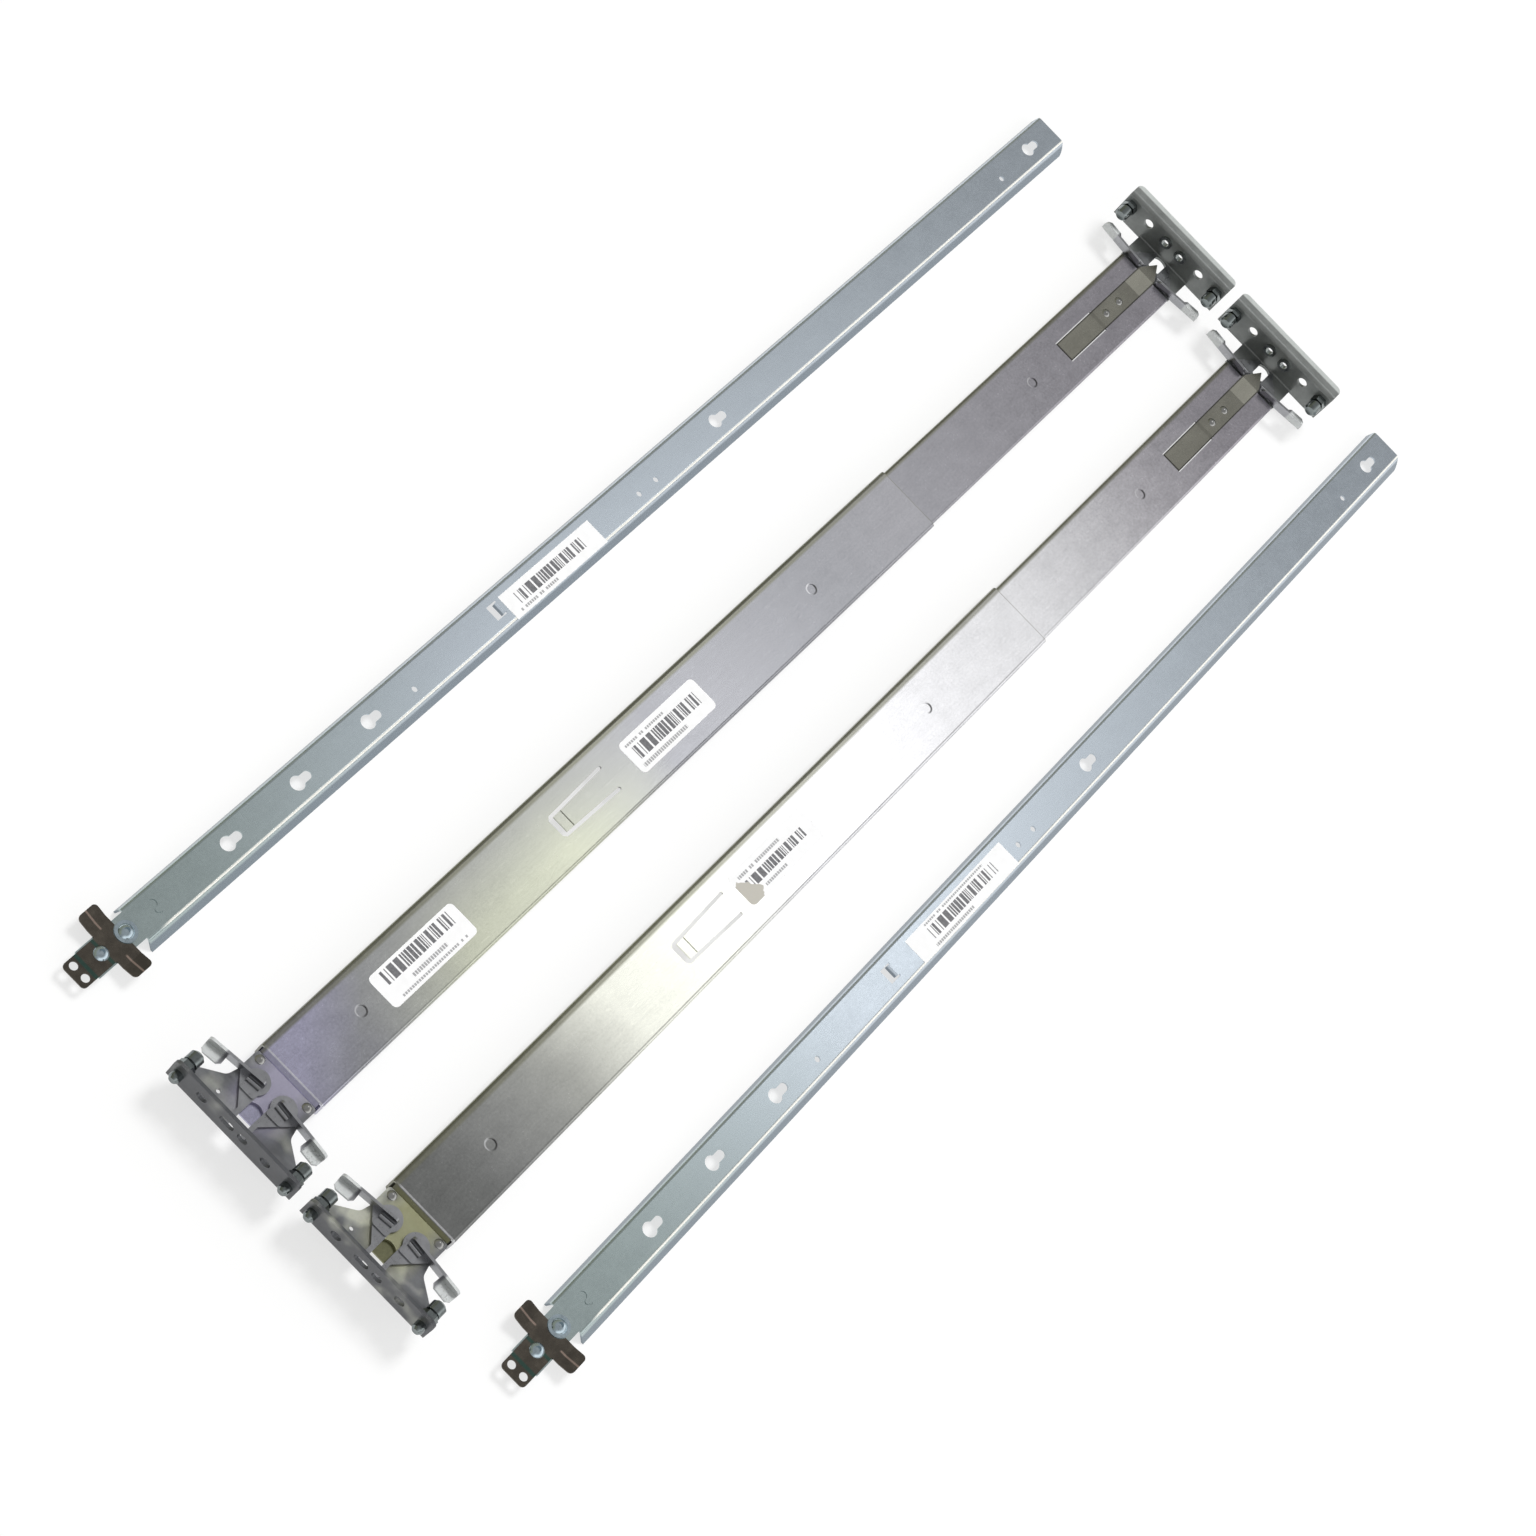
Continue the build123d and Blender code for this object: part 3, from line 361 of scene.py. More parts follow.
class OuterFinish(bpy.types.PropertyGroup):
    zinc: colour_setting("Zinc", "Plain zinc coat", (0.36, 0.365, 0.39))
    # Partly painted highlight: the right rail's bright zinc stands in for the lamps' reflection
    # along it; it also paints the highlights of the crest and the pressed marks, and lightens the
    # worn end
    bright: colour_setting("Bright zinc", "Zinc of the right rail's middle", (0.80, 0.80, 0.82))
    violet: colour_setting("Violet bloom", "Coat at the left rail's front end", (0.50, 0.49, 0.64))
    lilac: colour_setting("Lilac bloom", "Coat towards the rear ends", (0.44, 0.42, 0.46))
    # Partly painted highlight: straw is paler than the zinc and stronger towards -Y, where the
    # lamps' reflection spreads
    straw: colour_setting("Straw bloom", "Coat behind the front bracket", (0.62, 0.64, 0.52))
    cream: colour_setting("Cream bloom", "Pale coat of the right rail", (0.88, 0.89, 0.78))
    dull: colour_setting("Dull zinc", "Dark coat at the right front end", (0.235, 0.24, 0.235))
    tongue: colour_setting("Tongue", "Olive coat of the right rail's tongue", (0.25, 0.25, 0.15))
    # Painted shade on one side of the pressed marks' rims
    rim: colour_setting("Pressed rim", "Shade of the pressed marks' rims", (0.07, 0.07, 0.07))
    # Painted shade: darker olive along the +Y bends, and the painted shadow line where the front
    # section ends on the rear section
    edge: colour_setting("Olive edge", "Darker coat along the +Y bends", (0.235, 0.235, 0.175))
    roughness: amount("Roughness", "Mean roughness of the zinc", 0.24)


class InnerFinish(bpy.types.PropertyGroup):
    zinc: colour_setting("Zinc", "Bluish zinc plate", (0.54, 0.60, 0.66))
    front: colour_setting("Front zinc", "Greener zinc at the front end", (0.44, 0.52, 0.52))
    # Painted shade on the flared sides
    side: colour_setting("Sides", "Darker zinc of the flared sides", (0.22, 0.26, 0.30))
    # Painted highlight along the right bend
    painted_bend_highlight: colour_setting("Rubbed bend", "Pale zinc along the right bend", (0.95, 0.93, 0.86))
    roughness: amount("Roughness", "Mean roughness of the plate", 0.27)


class BracketFinish(bpy.types.PropertyGroup):
    plate: colour_setting("Plate", "Plated steel of the front brackets", (0.22, 0.225, 0.235))
    # Also the painted shade on the front flange's face and behind it
    dark: colour_setting("Dark streaks", "Darker streaks of the plating", (0.085, 0.088, 0.095))
    # Partly painted reflection: the pale patches stand in for bright bits of the room mirrored in
    # the plating
    cream: colour_setting("Cream patches", "Pale patches of the plating", (0.62, 0.63, 0.53))
    olive: colour_setting("Olive tint", "Plating of the right front tongue", (0.36, 0.36, 0.20))
    violet: colour_setting("Violet tint", "Plating of the left front tongue", (0.40, 0.38, 0.50))
    rear: colour_setting("Rear plate", "Grey-green plating at the rear", (0.20, 0.21, 0.205))
    roughness: amount("Roughness", "Mean roughness of the plating", 0.34)
    metallic: amount("Metallic", "How much the plating mirrors rather than scatters", 0.6)


class LeverFinish(bpy.types.PropertyGroup):
    steel: colour_setting("Steel", "Grey plated steel of the levers", (0.34, 0.345, 0.36))
    tab: colour_setting("Tab", "Pale steel of the thumb tabs", (0.62, 0.64, 0.64))
    roughness: amount("Roughness", "Mean roughness of the levers", 0.30)


class FastenerFinish(bpy.types.PropertyGroup):
    pin: colour_setting("Pins", "Blue-green zinc of the rack pins", (0.22, 0.245, 0.245))
    rivet: colour_setting("Rivets", "Bright rivet steel", (0.38, 0.38, 0.37))
    stud: colour_setting("Studs", "Bluish zinc of the studs", (0.50, 0.60, 0.66))
    insert: colour_setting("Inserts", "Grey zinc of the threaded inserts", (0.27, 0.29, 0.285))
    roughness: amount("Roughness", "Mean roughness of the heads", 0.17)


class SpringFinish(bpy.types.PropertyGroup):
    leaf: colour_setting("Leaf", "Olive-grey spring strip", (0.29, 0.285, 0.245))
    # Painted shade round the leaf's sides and end
    rim: colour_setting("Rim", "Dark rim round the spring's pad", (0.045, 0.045, 0.04))
    clip: colour_setting("Clip", "Dark stainless clip", (0.105, 0.093, 0.078))
    pale: colour_setting("Pale clouds", "Paler clouds of the clip", (0.24, 0.21, 0.17))
    green: colour_setting("Green band", "Heat tint across the clip", (0.045, 0.12, 0.10))
    pink: colour_setting("Crease", "Pinkish crease lines of the clip", (0.50, 0.38, 0.32))
    roughness: amount("Roughness", "Mean roughness of the springs", 0.26)


class LabelSettings(bpy.types.PropertyGroup):
    paper: colour_setting("Paper", "White paper", (0.94, 0.94, 0.95))
    ink: colour_setting("Ink", "Printed bars", (0.13, 0.13, 0.14))
    smudge: colour_setting("Smudge", "Grey smudges of the paper", (0.78, 0.78, 0.78))
    torn: colour_setting("Torn patch", "Bare patch of the torn label", (0.52, 0.50, 0.45))
    roughness: amount("Roughness", "Roughness of the paper", 0.55)
    outer_length: length("Outer length", "Length of the outer rails' labels", 0.067)
    outer_width: length("Outer width", "Width of the outer rails' labels", 0.0216)
    left_inner_length: length("Left inner length", "Left inner rail's label", 0.080)
    right_inner_length: length("Right inner length", "Right inner rail's label", 0.095)
    inner_width: length("Inner width", "Width of the inner rails' labels", 0.0172)
    corner: length("Corner", "Corner radius of a label", 0.003)
    thickness: length("Thickness", "Thickness of the paper", 0.00012)
    module: length("Bar", "Width of the narrowest printed bar", 0.0006)


class TableSettings(bpy.types.PropertyGroup):
    table: colour_setting("Table", "White table under the rails", (0.98, 0.98, 0.98))
    glow: amount("Glow", "Share of plain white in what the camera sees of the table", 0.66)
    room: amount("Room", "Light from above", 0.42, 0.0, 2.0)
    window: amount("Window", "Light from the low right", 1.25, 0.0, 2.0)
    shade: colour_setting("Shade", "Dim light from the low left", (0.36, 0.36, 0.28))
    horizon: colour_setting("Horizon", "Dim light level with the table", (0.06, 0.06, 0.06))
    panel_power: bpy.props.FloatProperty(
        name="Panel power", description="Power of the broad panel over the middle",
        default=1.2, min=0.0, unit="POWER",
    )
    strip_power: bpy.props.FloatProperty(
        name="Strip power", description="Power of the narrow strip over the right rail",
        default=0.7, min=0.0, unit="POWER",
    )
    lamp: bpy.props.FloatProperty(
        name="Lamp", description="Strength of the wide lamp that lights the table",
        default=1.9, min=0.0,
    )


# ---------------------------------------------------------------- helpers


def settings(name):
    """The scene's property group of that name."""
    return getattr(bpy.context.scene, name)


def dress(names, material):
    """Puts a material on CAD nodes of both sides, or of the side that a name gives."""
    for name in names:
        nodes = [name] if name.startswith(SIDES) else [side + "_" + name for side in SIDES]
        for node in nodes:
            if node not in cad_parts:
                raise ValueError("The frame has no node " + node)
            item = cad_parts[node]
            if not item.material_slots:
                item.data.materials.append(material)
            for holder in item.material_slots:
                holder.material = material


def top_at(node, x, y):
    """The height of a node's upper face over a point of the frame."""
    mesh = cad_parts[node].data
    tree = BVHTree.FromPolygons(
        [v.co.copy() for v in mesh.vertices],
        [tuple(p.vertices) for p in mesh.polygons],
    )
    hit = tree.ray_cast(Vector((x, y, 1.0)), Vector((0.0, 0.0, -1.0)))[0]
    if hit is None:
        raise ValueError("Nothing of " + node + " lies under that point")
    return hit.z


def worn_metal(look, base, shade, roughness, spread, metallic=1.0, lines=(22.0, 1100.0, 1100.0)):
    """Satin metal with fine grit, faint drawn lines, short rubs and a soft waviness.

    shade is how strongly they show in the colour, spread how strongly in the roughness, and
    lines is how fine the drawn lines are along each axis.
    """
    fine = look.grain((620.0, 620.0, 620.0), 1.0, 0.6)
    drawn = look.grain(lines, 2.0, 0.55, (0.3, 0.1, 0.2))
    cloud = look.grain((75.0, 95.0, 95.0), 4.0, 0.6, (2.0, 5.0, 1.0))
    rub = look.grain((150.0, 520.0, 300.0), 1.0, 0.5, (7.0, 1.0, 3.0)).over(0.64, 0.74)
    tone = (fine - 0.5) * 0.45 + (drawn - 0.5) * 0.16 + (cloud - 0.5) * 0.5 + rub * 0.10
    colour = look.mix(
        (tone * shade + 0.5).clamped(),
        look.mix(1.0, base, DARKEST, "MULTIPLY"),
        look.mix(1.0, base, LIGHTEST, "MULTIPLY"),
    )
    rough = (roughness + (fine - 0.5) * spread + (cloud - 0.5) * spread).clamped()
    height = fine * 0.4 + drawn * 0.3 + cloud * 0.8
    return look.finish(colour, rough, metallic, look.bump(height, *METAL_BUMP))


def linked(name, data):
    """A new object with the data, in the scene."""
    item = bpy.data.objects.new(name, data)
    bpy.context.scene.collection.objects.link(item)
    return item


def times(colour, factor):
    """A colour made lighter or darker by a factor."""
    return tuple(part * factor for part in colour)


def middle_of(low, high):
    return (low + high) / 2.0


# ---------------------------------------------------------------- finishes


class RAILS_OT_outer_finish(bpy.types.Operator):
    """Zinc coat of the outer rails: satin, with a faint bloom of colour along them"""

    bl_idname = "rails.outer_finish"
    bl_label = "Outer rail finish"

    def execute(self, context):
        finish = settings("rails_outer")
        for side in SIDES:
            look = Look(side + "_outer_zinc")
            x, y = look.axes()[:2]
            low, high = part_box(side + "_front_section")
            along = x - low.x
            across = y - middle_of(low.y, high.y)
            lap = x - high.x
            swaying = along + (look.grain((9.0, 20.0, 20.0), 2.0) - 0.5) * BLOOM_SWAY
            if side == "left":
                zinc = self.left_coat(look, finish, swaying, across)
                tongue = finish.violet
            else:
                zinc = self.right_coat(look, finish, swaying)
                tongue = finish.tongue
            worn = lap.over(*WORN_FADE) * (1.0 - lap.over(*LAP_FADE))
            zinc = look.tint(zinc, tongue, 1.0 - along.over(*TONGUE_FADE))
            # Painted highlight: a pale line on the crest of the step behind the tongue
            zinc = look.tint(zinc, finish.bright, along.within(*CREST_HIGHLIGHT_BAND), 0.6)
            # Painted shade along the +Y bends
            zinc = look.tint(zinc, finish.edge, across.over(*BEND_SHADE_FADE), 0.8)
            zinc = look.tint(zinc, finish.bright, worn, 0.10)
            # Painted shadow: a dark line where the front section's rear end meets the rear section
            zinc = look.tint(zinc, finish.edge, lap.within(*LAP_SHADOW_BAND), 0.8)
            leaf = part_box(side + "_leaf_spring")[0].x
            # Painted shade and painted highlight round each pressed mark
            for mark in (low.x + DIMPLES[0], low.x + DIMPLES[1], leaf - REAR_DIMPLE):
                zinc = self.dimple_shade(look, finish, zinc, x - mark, across)
            material = worn_metal(look, zinc, 0.75, finish.roughness, 0.10)
            dress([side + "_front_section", side + "_rear_section"], material)
        return {"FINISHED"}

    def left_coat(self, look, finish, along, across):
        """Plain zinc, straw behind the bracket that is partly painted highlight and stronger
        towards -Y, violet at the front, lilac at the rear.
        """
        lower = (across * -1.0).over(*LEFT_STRAW_SIDE_FADE)
        straw = along.within(*LEFT_STRAW_BAND) * (lower * 0.7 + 0.3)
        violet = 1.0 - (along - across).over(*LEFT_VIOLET_FADE)
        zinc = look.tint(finish.zinc, finish.lilac, along.over(*LEFT_LILAC_FADE))
        zinc = look.tint(zinc, finish.straw, straw)
        return look.tint(zinc, finish.violet, violet)

    def right_coat(self, look, finish, along):
        """Bright zinc, partly a painted highlight along this rail, cream in its first half, dull
        at the front, lilac at the rear.
        """
        first, second = RIGHT_DULL_FADES
        dull = 1.0 - (along.over(*first) * 0.33 + along.over(*second) * 0.67)
        zinc = look.tint(finish.bright, finish.lilac, along.over(*RIGHT_LILAC_FADE))
        zinc = look.tint(zinc, finish.cream, along.within(*RIGHT_CREAM_BAND), 0.8)
        return look.tint(zinc, finish.dull, dull)

    def dimple_shade(self, look, finish, zinc, along, across):
        """Painted shade, a dark crescent on one side of a pressed mark, and a painted highlight, a
        pale one on the other.
        """
        width = 2.0 * DIMPLE_RADIUS
        rim = (along * along + across * across).within(
            DIMPLE_RADIUS ** 2, width * DIMPLE_RIM, width * DIMPLE_SOFT
        )
        lean = (along - across) / DIMPLE_RADIUS
        zinc = look.tint(zinc, finish.rim, rim * lean.over(*CRESCENT_FADE), 0.75)
        return look.tint(zinc, finish.bright, rim * (0.0 - lean).over(*CRESCENT_FADE), 0.6)


class RAILS_OT_inner_finish(bpy.types.Operator):
    """Bluish zinc plate of the inner rails, with painted shade on their flanks and a painted
    highlight along one bend
    """

    bl_idname = "rails.inner_finish"
    bl_label = "Inner rail finish"

    def execute(self, context):
        finish = settings("rails_inner")
        for side in SIDES:
            low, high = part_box(side + "_inner_rail")
            look = Look(side + "_inner_zinc")
            x, y, z = look.axes()
            along = x - low.x
            across = y - high.y + INNER_MIDDLE
            flank_shade = 1.0 - (z - high.z).over(*INNER_FLANK_SHADE_FADE)
            # Painted highlight: pale and less metallic along the right bend
            painted_bend_highlight = across.within(*INNER_BEND_HIGHLIGHT_BAND) * (1.0 - flank_shade) * along.over(*INNER_BEND_HIGHLIGHT_FADE)
            front = 1.0 - along.over(*INNER_FRONT_FADE)
            zinc = look.tint(finish.zinc, finish.front, front)
            # Painted shade: darker flanks below the top of the rail
            zinc = look.tint(zinc, finish.side, flank_shade, 0.9)
            zinc = look.tint(zinc, finish.painted_bend_highlight, painted_bend_highlight, 0.9)
            material = worn_metal(look, zinc, 0.38, finish.roughness, 0.08, 1.0 - painted_bend_highlight * 0.6)
            dress([side + "_inner_rail"], material)
        return {"FINISHED"}


class RAILS_OT_bracket_finish(bpy.types.Operator):
    """Dark plating of the brackets, with pale patches that are partly painted reflection, painted
    shade on and behind the front flanges, a painted highlight on the rear flanges, and a tint of
    their own side
    """

    bl_idname = "rails.bracket_finish"
    bl_label = "Bracket finish"

    def execute(self, context):
        finish = settings("rails_bracket")
        for side, tint, pale in (("left", finish.violet, 0.30), ("right", finish.olive, 0.85)):
            self.front_plate(finish, side, tint, pale)
            self.rear_plate(finish, side)
        return {"FINISHED"}

    def front_plate(self, finish, side, tint, pale):
        look = Look(side + "_bracket_plate")
        x, y = look.axes()[:2]
        low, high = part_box(side + "_front_bracket")
        along = x - low.x
        across = y - middle_of(low.y, high.y)
        streak = look.grain((70.0, 26.0, 70.0), 3.0, 0.6).over(0.42, 0.60)
        patch = look.grain((52.0, 52.0, 40.0), 2.0, 0.5, (3.0, 8.0, 2.0)).over(0.52, 0.66)
        # Painted shade: darker flange face, and darker plate behind the flange
        face = (1.0 - along.over(*FLANGE_FADE)) * (1.0 - patch * 0.6)
        root_shade = (1.0 - along.over(*ROOT_SHADE_FADE)) * (1.0 - patch * 0.7)
        tongue = along.over(*TINT_FADE) * across.within(*TINT_BAND)
        plate = look.tint(finish.plate, finish.dark, streak, 0.7)
        # Pale patches, partly painted reflection
        plate = look.tint(plate, finish.cream, patch, pale)
        plate = look.tint(plate, finish.dark, face, 0.6)
        plate = look.tint(plate, finish.dark, root_shade, 0.6)
        plate = look.tint(plate, tint, tongue, 0.8)
        self.dress_plate(look, finish, plate, side + "_front_bracket")

    def rear_plate(self, finish, side):
        look = Look(side + "_rear_plate")
        x = look.axes()[0]
        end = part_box(side + "_rear_bracket")[1].x
        cloud = look.grain((60.0, 45.0, 45.0), 3.0, 0.6, (5.0, 2.0, 1.0)).over(0.35, 0.7)
        # Painted highlight: the rear flange much lighter than the plate
        flange = (x - end).over(*REAR_FLANGE_FADE)
        plate = look.tint(finish.rear, times(finish.rear, 1.7), cloud, 0.6)
        plate = look.tint(plate, times(finish.rear, 3.4), flange)
        self.dress_plate(look, finish, plate, side + "_rear_bracket")

    def dress_plate(self, look, finish, plate, node):
        dress([node], worn_metal(
            look, plate, 0.5, finish.roughness, 0.10, finish.metallic, (700.0, 14.0, 700.0)
        ))


class RAILS_OT_lever_finish(bpy.types.Operator):
    """Grey steel of the release levers, paler and less metallic at the thumb tabs"""

    bl_idname = "rails.lever_finish"
    bl_label = "Lever finish"

    def execute(self, context):
        finish = settings("rails_lever")
        for side in SIDES:
            low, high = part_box(side + "_front_bracket")
            look = Look(side + "_lever_steel")
            x, y = look.axes()[:2]
            cloud = look.grain((90.0, 90.0, 90.0), 3.0, 0.6).over(0.45, 0.7)
            tab = (y - middle_of(low.y, high.y)).far().over(*THUMB_TAB_FADE)
            steel = look.tint(finish.steel, times(finish.steel, 1.5), cloud, 0.5)
            steel = look.tint(steel, finish.tab, tab)
            levers = [
                side + end + level + "_lever"
                for end in ("_front_", "_rear_") for level in ("upper", "lower")
            ]
            dress(levers, worn_metal(
                look, steel, 0.5, finish.roughness, 0.12, 1.0 - tab * 0.75
            ))
        return {"FINISHED"}


class RAILS_OT_fastener_finish(bpy.types.Operator):
    """Plating of the rack pins, pivots, rivets, inserts and studs"""

    bl_idname = "rails.fastener_finish"
    bl_label = "Fastener finish"

    def execute(self, context):
        finish = settings("rails_fastener")
        for name, base, nodes in (
            ("pin_zinc", finish.pin, ["front_pins", "rear_pins"]),
            ("rivet_steel", finish.rivet,
             ["front_upper_pivot", "front_lower_pivot", "rear_upper_pivot", "rear_lower_pivot",
              "ear_rivets", "leaf_rivets"]),
            ("stud_zinc", finish.stud, ["clip_rivet", "stop_stud"]),
            ("insert_zinc", finish.insert, ["rear_inserts"]),
        ):
            look = Look(name)
            tarnish = look.grain((420.0, 420.0, 420.0), 3.0, 0.6).over(0.5, 0.72)
            steel = look.tint(base, times(base, 0.5), tarnish, 0.45)
            dress(nodes, worn_metal(
                look, steel, 0.4, finish.roughness, 0.12, 1.0, (900.0, 900.0, 900.0)
            ))
        return {"FINISHED"}


class RAILS_OT_spring_finish(bpy.types.Operator):
    """Spring steel of the locking leaves and the dark release clips"""

    bl_idname = "rails.spring_finish"
    bl_label = "Spring finish"

    def execute(self, context):
        finish = settings("rails_spring")
        for side in SIDES:
            self.dress_leaf(finish, side)
            self.dress_clip(finish, side)
        return {"FINISHED"}

    def dress_leaf(self, finish, side):
        low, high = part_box(side + "_leaf_spring")
        look = Look(side + "_leaf_steel")
        x, y = look.axes()[:2]
        cloud = look.grain((40.0, 90.0, 90.0), 3.0, 0.6).over(0.4, 0.75)
        inside = (y - middle_of(low.y, high.y)).far() - (high.y - low.y) / 2.0
        end = 1.0 - (x - low.x).over(*LEAF_END_SHADE_FADE)
        # Painted shade: dark rim along the leaf's sides and end
        rim = inside.over(*LEAF_SIDE_SHADE_FADE).maths("MAXIMUM", end)
        leaf = look.tint(finish.leaf, times(finish.leaf, 1.3), cloud, 0.5)
        leaf = look.tint(leaf, finish.rim, rim, 0.8)
        material = worn_metal(look, leaf, 0.3, finish.roughness, 0.08)
        dress([side + "_leaf_spring"], material)

    def dress_clip(self, finish, side):
        low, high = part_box(side + "_release_clip")
        look = Look(side + "_clip_steel")
        x, y = look.axes()[:2]
        along = x - low.x
        across = (y - middle_of(low.y, high.y)).far()
        cloud = look.grain((120.0, 120.0, 120.0), 3.0, 0.6).over(0.4, 0.7)
        first, second = CLIP_GREEN_BANDS
        bands = along.within(*first) + along.within(*second)
        crease = across.over(*CLIP_WING_FADE) * along.within(*CLIP_CREASE_BAND)
        clip = look.tint(finish.clip, finish.pale, cloud, 0.35)
        clip = look.tint(clip, finish.green, bands, 0.75)
        clip = look.tint(clip, finish.pink, crease, 0.8)
        material = worn_metal(look, clip, 0.4, finish.roughness, 0.12)
        dress([side + "_release_clip"], material)


# ---------------------------------------------------------------- labels


class TreeMaker:
    """Adds nodes to a Geometry Nodes tree with named inputs."""

    def __init__(self, name, inputs):
        self.tree = bpy.data.node_groups.new(name, "GeometryNodeTree")
        for label, kind in inputs.items():
            self.tree.interface.new_socket(label, in_out="INPUT", socket_type=kind)
        self.tree.interface.new_socket(
            "Geometry", in_out="OUTPUT", socket_type="NodeSocketGeometry"
        )
        self.start = self.node("NodeGroupInput")

    def node(self, kind, options=None, sockets=None):
        return add_node(self.tree, kind, options, sockets)

    def named(self, label):
        return self.start.outputs[label]

    def done(self, geometry, material):
        whole = self.node("GeometryNodeRealizeInstances", None, {0: geometry})
        dressed = self.node("GeometryNodeSetMaterial", None, {0: whole.outputs[0], 2: material})
        self.node("NodeGroupOutput", None, {0: dressed.outputs[0]})
        return self.tree


def label_tree():
    """A paper label: a filled rounded outline with a thickness and its own flat map."""
    make = TreeMaker("paper_label", {
        "Length": "NodeSocketFloat",
        "Width": "NodeSocketFloat",
        "Corner": "NodeSocketFloat",
        "Thickness": "NodeSocketFloat",
        "Place": "NodeSocketVector",
        "Paper": "NodeSocketMaterial",
    })
    outline = make.node(
        "GeometryNodeCurvePrimitiveQuadrilateral", {"mode": "RECTANGLE"},
        {0: make.named("Length"), 1: make.named("Width")},
    )
    rounded = make.node(
        "GeometryNodeFilletCurve", {"mode": "POLY"},
        {"Curve": outline.outputs[0], "Radius": make.named("Corner"), "Count": CORNER_STEPS},
    )
    filled = make.node("GeometryNodeFillCurve", None, {0: rounded.outputs[0]})
    position = make.node("GeometryNodeInputPosition")
    size = make.node(
        "ShaderNodeCombineXYZ", None,
        {0: make.named("Length"), 1: make.named("Width"), 2: 1.0},
    )
    share = make.node(
        "ShaderNodeVectorMath", {"operation": "DIVIDE"},
        {0: position.outputs[0], 1: size.outputs[0]},
    )
    mapped = make.node(
        "GeometryNodeStoreNamedAttribute", {"data_type": "FLOAT_VECTOR", "domain": "POINT"},
        {0: filled.outputs[0], 2: "label_place", 3: share.outputs[0]},
    )
    upward = make.node("ShaderNodeCombineXYZ", None, {2: make.named("Thickness")})
    raised = make.node(
        "GeometryNodeExtrudeMesh", {"mode": "FACES"},
        {0: mapped.outputs[0], 2: upward.outputs[0], 3: 1.0, 4: False},
    )
    underside = make.node("GeometryNodeFlipFaces", None, {0: mapped.outputs[0]})
    both = make.node("GeometryNodeJoinGeometry")
    for part in (raised, underside):
        make.tree.links.new(part.outputs[0], both.inputs[0])
    whole = make.node("GeometryNodeMergeByDistance", None, {0: both.outputs[0]})
    laid = make.node(
        "GeometryNodeTransform", None,
        {"Geometry": whole.outputs[0], "Translation": make.named("Place")},
    )
    return make.done(laid.outputs[0], make.named("Paper"))


def baked(name, tree, values):
    """The result of a Geometry Nodes tree as a plain mesh object."""
    item = linked(name + "_start", bpy.data.meshes.new(name + "_start"))
    modifier = item.modifiers.new("shape", "NODES")
    modifier.node_group = tree
    identifiers = {
        entry.name: entry.identifier
        for entry in tree.interface.items_tree
        if entry.item_type == "SOCKET" and entry.in_out == "INPUT"
    }
    for label, value in values.items():
        modifier[identifiers[label]] = value
    item.update_tag()
    bpy.context.view_layer.update()
    evaluated = item.evaluated_get(bpy.context.evaluated_depsgraph_get())
    mesh = bpy.data.meshes.new_from_object(evaluated)
    bpy.data.objects.remove(item)
    mesh.name = name
    return linked(name, mesh)


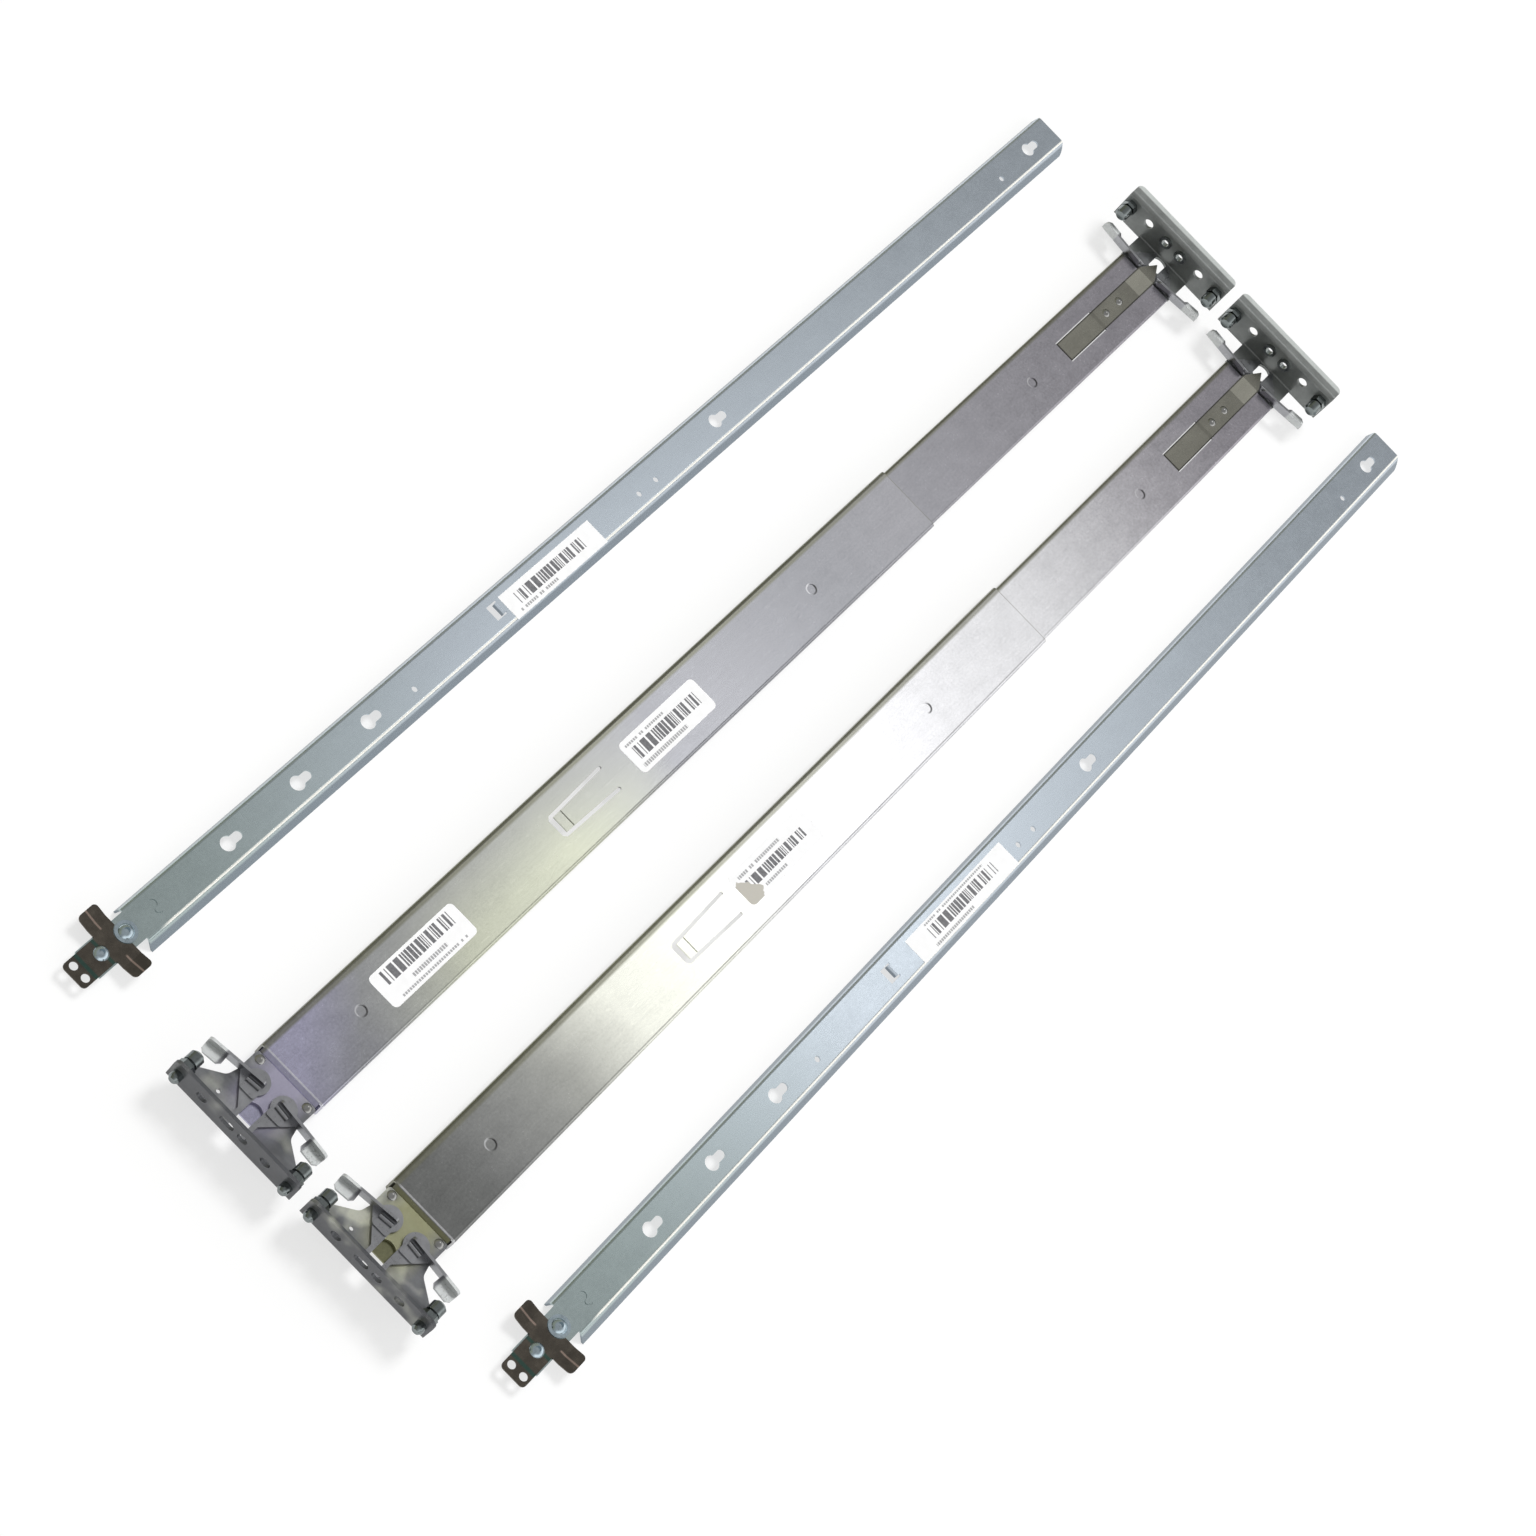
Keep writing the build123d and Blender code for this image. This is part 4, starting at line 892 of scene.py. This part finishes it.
class RAILS_OT_labels(bpy.types.Operator):
    """Paper labels with a plain generic row of bars, one piece each"""

    bl_idname = "rails.labels"
    bl_label = "Labels"

    def execute(self, context):
        size = settings("rails_label")
        outer = (size.outer_length, size.outer_width, size.corner)
        left_inner = (size.left_inner_length, size.inner_width, INNER_LABEL_CORNER)
        right_inner = (size.right_inner_length, size.inner_width, INNER_LABEL_CORNER)
        tree = label_tree()
        for name, node, body, centre, (reach, width, corner) in (
            ("left_box_label", "left_front_section", "front_rails", (149.8, 46.2), outer),
            ("left_slide_label", "left_front_section", "front_rails", (359.4, 46.4), outer),
            ("right_slide_label", "right_front_section", "front_rails", (350.5, -46.2), outer),
            ("left_inner_label", "left_inner_rail", "left_inner", (381.0, 152.7), left_inner),
            ("right_inner_label", "right_inner_rail", "right_inner", (423.8, -138.2),
             right_inner),
        ):
            point = placed(*centre)
            point.z = top_at(node, point.x, point.y) + LABEL_LIFT
            piece = baked(name, tree, {
                "Length": reach, "Width": width, "Corner": corner,
                "Thickness": size.thickness, "Place": tuple(point),
                "Paper": self.paper(name, size, reach / size.module),
            })
            if not piece.data.polygons:
                raise ValueError(name + " came out empty")
            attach(piece, body)
        return {"FINISHED"}

    def paper(self, name, size, modules):
        """Paper with a row of plain bars, rows of plain dashes and grey smudges."""
        look = Look(name + "_paper")
        own = look.node("ShaderNodeAttribute", {"attribute_name": "label_place"})
        u, v = look.axes(own.outputs["Vector"])[:2]
        bars, *dashes = LABEL_ROWS[name]
        printed = self.row(look, u, v, bars, modules, ROW_SHIFT, BAR_BLANKS)[0]
        for index, row in enumerate(dashes, 2):
            line, place = self.row(
                look, u, v, row, modules / DASH_MODULES, ROW_SHIFT * index, DASH_BLANKS
            )
            within = (place.maths("FRACT") - 0.5).far() < DASH_HALF
            printed = printed.maths("MAXIMUM", line * within * DASH_INK)
        fibre = look.grain((700.0, 700.0, 700.0), 3.0, 0.6)
        smudge = look.grain((160.0, 160.0, 160.0), 2.0, 0.5, (1.0, 2.0, 3.0)).over(0.45, 0.8)
        paper = look.tint(size.paper, size.smudge, smudge, 0.25)
        paper = look.tint(paper, size.ink, (printed * (0.8 + fibre * 0.3)).clamped())
        if name == TORN_LABEL:
            ragged = (look.grain((260.0, 260.0, 260.0), 3.0, 0.6) - 0.5) * TORN_SWAY
            along = (u - TORN_MIDDLE[0]).far() * TORN_SHAPE[0]
            apart = along + (v - TORN_MIDDLE[1]).far() * TORN_SHAPE[1] + ragged
            paper = look.tint(paper, size.torn, apart < TORN_REACH)
        normal = look.bump(fibre * 0.5 + smudge, *PAPER_BUMP)
        return look.finish(paper, size.roughness, 0.0, normal)

    def row(self, look, u, v, row, steps, shift, blanks):
        """Where a row is printed, and the place along it in steps."""
        start, end, height, half = row
        place = u * steps + shift
        cell = look.node(
            "ShaderNodeTexWhiteNoise", {"noise_dimensions": "1D"}, {"W": place.floor()}
        )
        inside = (u > start) * (u < end) * ((v - height).far() < half)
        return inside * (Wire(look, cell.outputs[0]) > blanks), place


# ---------------------------------------------------------------- table and light


def aim(item, target):
    """Turns a lamp so that it shines at the target."""
    direction = Vector(target) - item.location
    item.rotation_euler = direction.to_track_quat("-Z", "Y").to_euler()


class RAILS_OT_table(bpy.types.Operator):
    """Pale table, soft studio light and the camera of the photograph"""

    bl_idname = "rails.table"
    bl_label = "Table, light and camera"

    def execute(self, context):
        stage = settings("rails_table")
        self.table(stage)
        self.room(stage)
        self.lamps(stage)
        self.camera(context)
        context.scene.view_settings.view_transform = "Standard"
        return {"FINISHED"}

    def table(self, stage):
        mesh = bpy.data.meshes.new("table")
        corners = [
            (x * TABLE_REACH, y * TABLE_REACH, 0.0)
            for x, y in ((-1, -1), (1, -1), (1, 1), (-1, 1))
        ]
        mesh.from_pydata(corners, [], [(0, 1, 2, 3)])
        look = Look("table_paint")
        paint = look.node("ShaderNodeBsdfDiffuse", None, {"Color": look.colour(stage.table)})
        white = look.node("ShaderNodeEmission", None, {"Color": look.colour(WHITE)})
        ray = look.node("ShaderNodeLightPath")
        seen = Wire(look, ray.outputs["Is Camera Ray"])
        for kind in ("Is Glossy Ray", "Is Transmission Ray"):
            seen = seen.maths("MAXIMUM", Wire(look, ray.outputs[kind]))
        both = look.node(
            "ShaderNodeMixShader", None,
            {0: seen * stage.glow, 1: paint.outputs[0], 2: white.outputs[0]},
        )
        look.node("ShaderNodeOutputMaterial", None, {0: both.outputs[0]})
        mesh.materials.append(look.material)
        table = linked("table", mesh)

    def room(self, stage):
        sky = Sky("studio")
        bpy.context.scene.world = sky.material
        y, z = sky.axes()[1:]
        low = 1.0 - z.over(*SKY_LOW_FADE)
        right = (y * -1.0).over(*SKY_RIGHT_FADE) * low
        left = y.over(*SKY_LEFT_FADE) * low
        light = sky.tint((stage.room,) * 3, (stage.window,) * 3, right)
        light = sky.tint(light, stage.shade, left)
        light = sky.tint(light, stage.horizon, 1.0 - z.over(*SKY_HORIZON_FADE))
        back = sky.node("ShaderNodeBackground", None, {"Color": light})
        white = sky.node("ShaderNodeBackground", None, {"Color": sky.colour(WHITE)})
        seen = sky.node("ShaderNodeLightPath").outputs["Is Camera Ray"]
        both = sky.node(
            "ShaderNodeMixShader", None, {0: seen, 1: back.outputs[0], 2: white.outputs[0]}
        )
        sky.node("ShaderNodeOutputWorld", None, {0: both.outputs[0]})

    def lamps(self, stage):
        for name, width, depth, power, place, target in (
            ("panel", 0.70, 0.90, stage.panel_power, (1.08, -0.02, 1.65), (-0.05, -0.01, 0.0)),
            ("strip", 0.62, 0.16, stage.strip_power, (1.02, -0.13, 1.64), (-0.09, -0.06, 0.0)),
        ):
            data = bpy.data.lights.new(name, "AREA")
            data.shape = "RECTANGLE"
            data.size = width
            data.size_y = depth
            data.energy = power
            lamp = linked(name, data)
            lamp.location = place
            aim(lamp, target)
        wide = bpy.data.lights.new("wide_lamp", "SUN")
        wide.energy = stage.lamp
        wide.angle = WIDE_LAMP_ANGLE
        lamp = linked("wide_lamp", wide)
        lamp.location = WIDE_LAMP_PLACE
        lamp.visible_glossy = False
        aim(lamp, (0.0, 0.0, 0.0))

    def camera(self, context):
        data = bpy.data.cameras.new("photo_camera")
        data.sensor_width = CAMERA_SENSOR
        data.lens = CAMERA_LENS
        data.clip_end = CAMERA_REACH
        camera = linked("photo_camera", data)
        camera.location = CAMERA_PLACE
        camera.rotation_euler = CAMERA_TURN
        context.scene.camera = camera


# ---------------------------------------------------------------- panel


OPERATORS = (
    RAILS_OT_table,
    RAILS_OT_outer_finish,
    RAILS_OT_inner_finish,
    RAILS_OT_bracket_finish,
    RAILS_OT_lever_finish,
    RAILS_OT_fastener_finish,
    RAILS_OT_spring_finish,
    RAILS_OT_labels,
)

GROUPS = {
    "rails_outer": OuterFinish,
    "rails_inner": InnerFinish,
    "rails_bracket": BracketFinish,
    "rails_lever": LeverFinish,
    "rails_fastener": FastenerFinish,
    "rails_spring": SpringFinish,
    "rails_label": LabelSettings,
    "rails_table": TableSettings,
}


class RAILS_PT_panel(bpy.types.Panel):
    """Lists the rails' operators and settings"""

    bl_idname = "RAILS_PT_panel"
    bl_label = "Sliding rack rails"
    bl_space_type = "VIEW_3D"
    bl_region_type = "UI"
    bl_category = "Rails"

    def draw(self, context):
        for operator in OPERATORS:
            self.layout.operator(operator.bl_idname)
        for name, group in GROUPS.items():
            box = self.layout.box()
            for entry in group.__annotations__:
                box.prop(getattr(context.scene, name), entry)


def register():
    for name, group in GROUPS.items():
        bpy.utils.register_class(group)
        setattr(bpy.types.Scene, name, bpy.props.PointerProperty(type=group))
    for item in (*OPERATORS, RAILS_PT_panel):
        bpy.utils.register_class(item)


def unregister():
    for item in (RAILS_PT_panel, *reversed(OPERATORS)):
        bpy.utils.unregister_class(item)
    for name, group in GROUPS.items():
        delattr(bpy.types.Scene, name)
        bpy.utils.unregister_class(group)


def main():
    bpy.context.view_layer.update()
    register()
    bpy.ops.rails.table()
    bpy.ops.rails.outer_finish()
    bpy.ops.rails.inner_finish()
    bpy.ops.rails.bracket_finish()
    bpy.ops.rails.lever_finish()
    bpy.ops.rails.fastener_finish()
    bpy.ops.rails.spring_finish()
    bpy.ops.rails.labels()


if __name__ == "__main__":
    main()
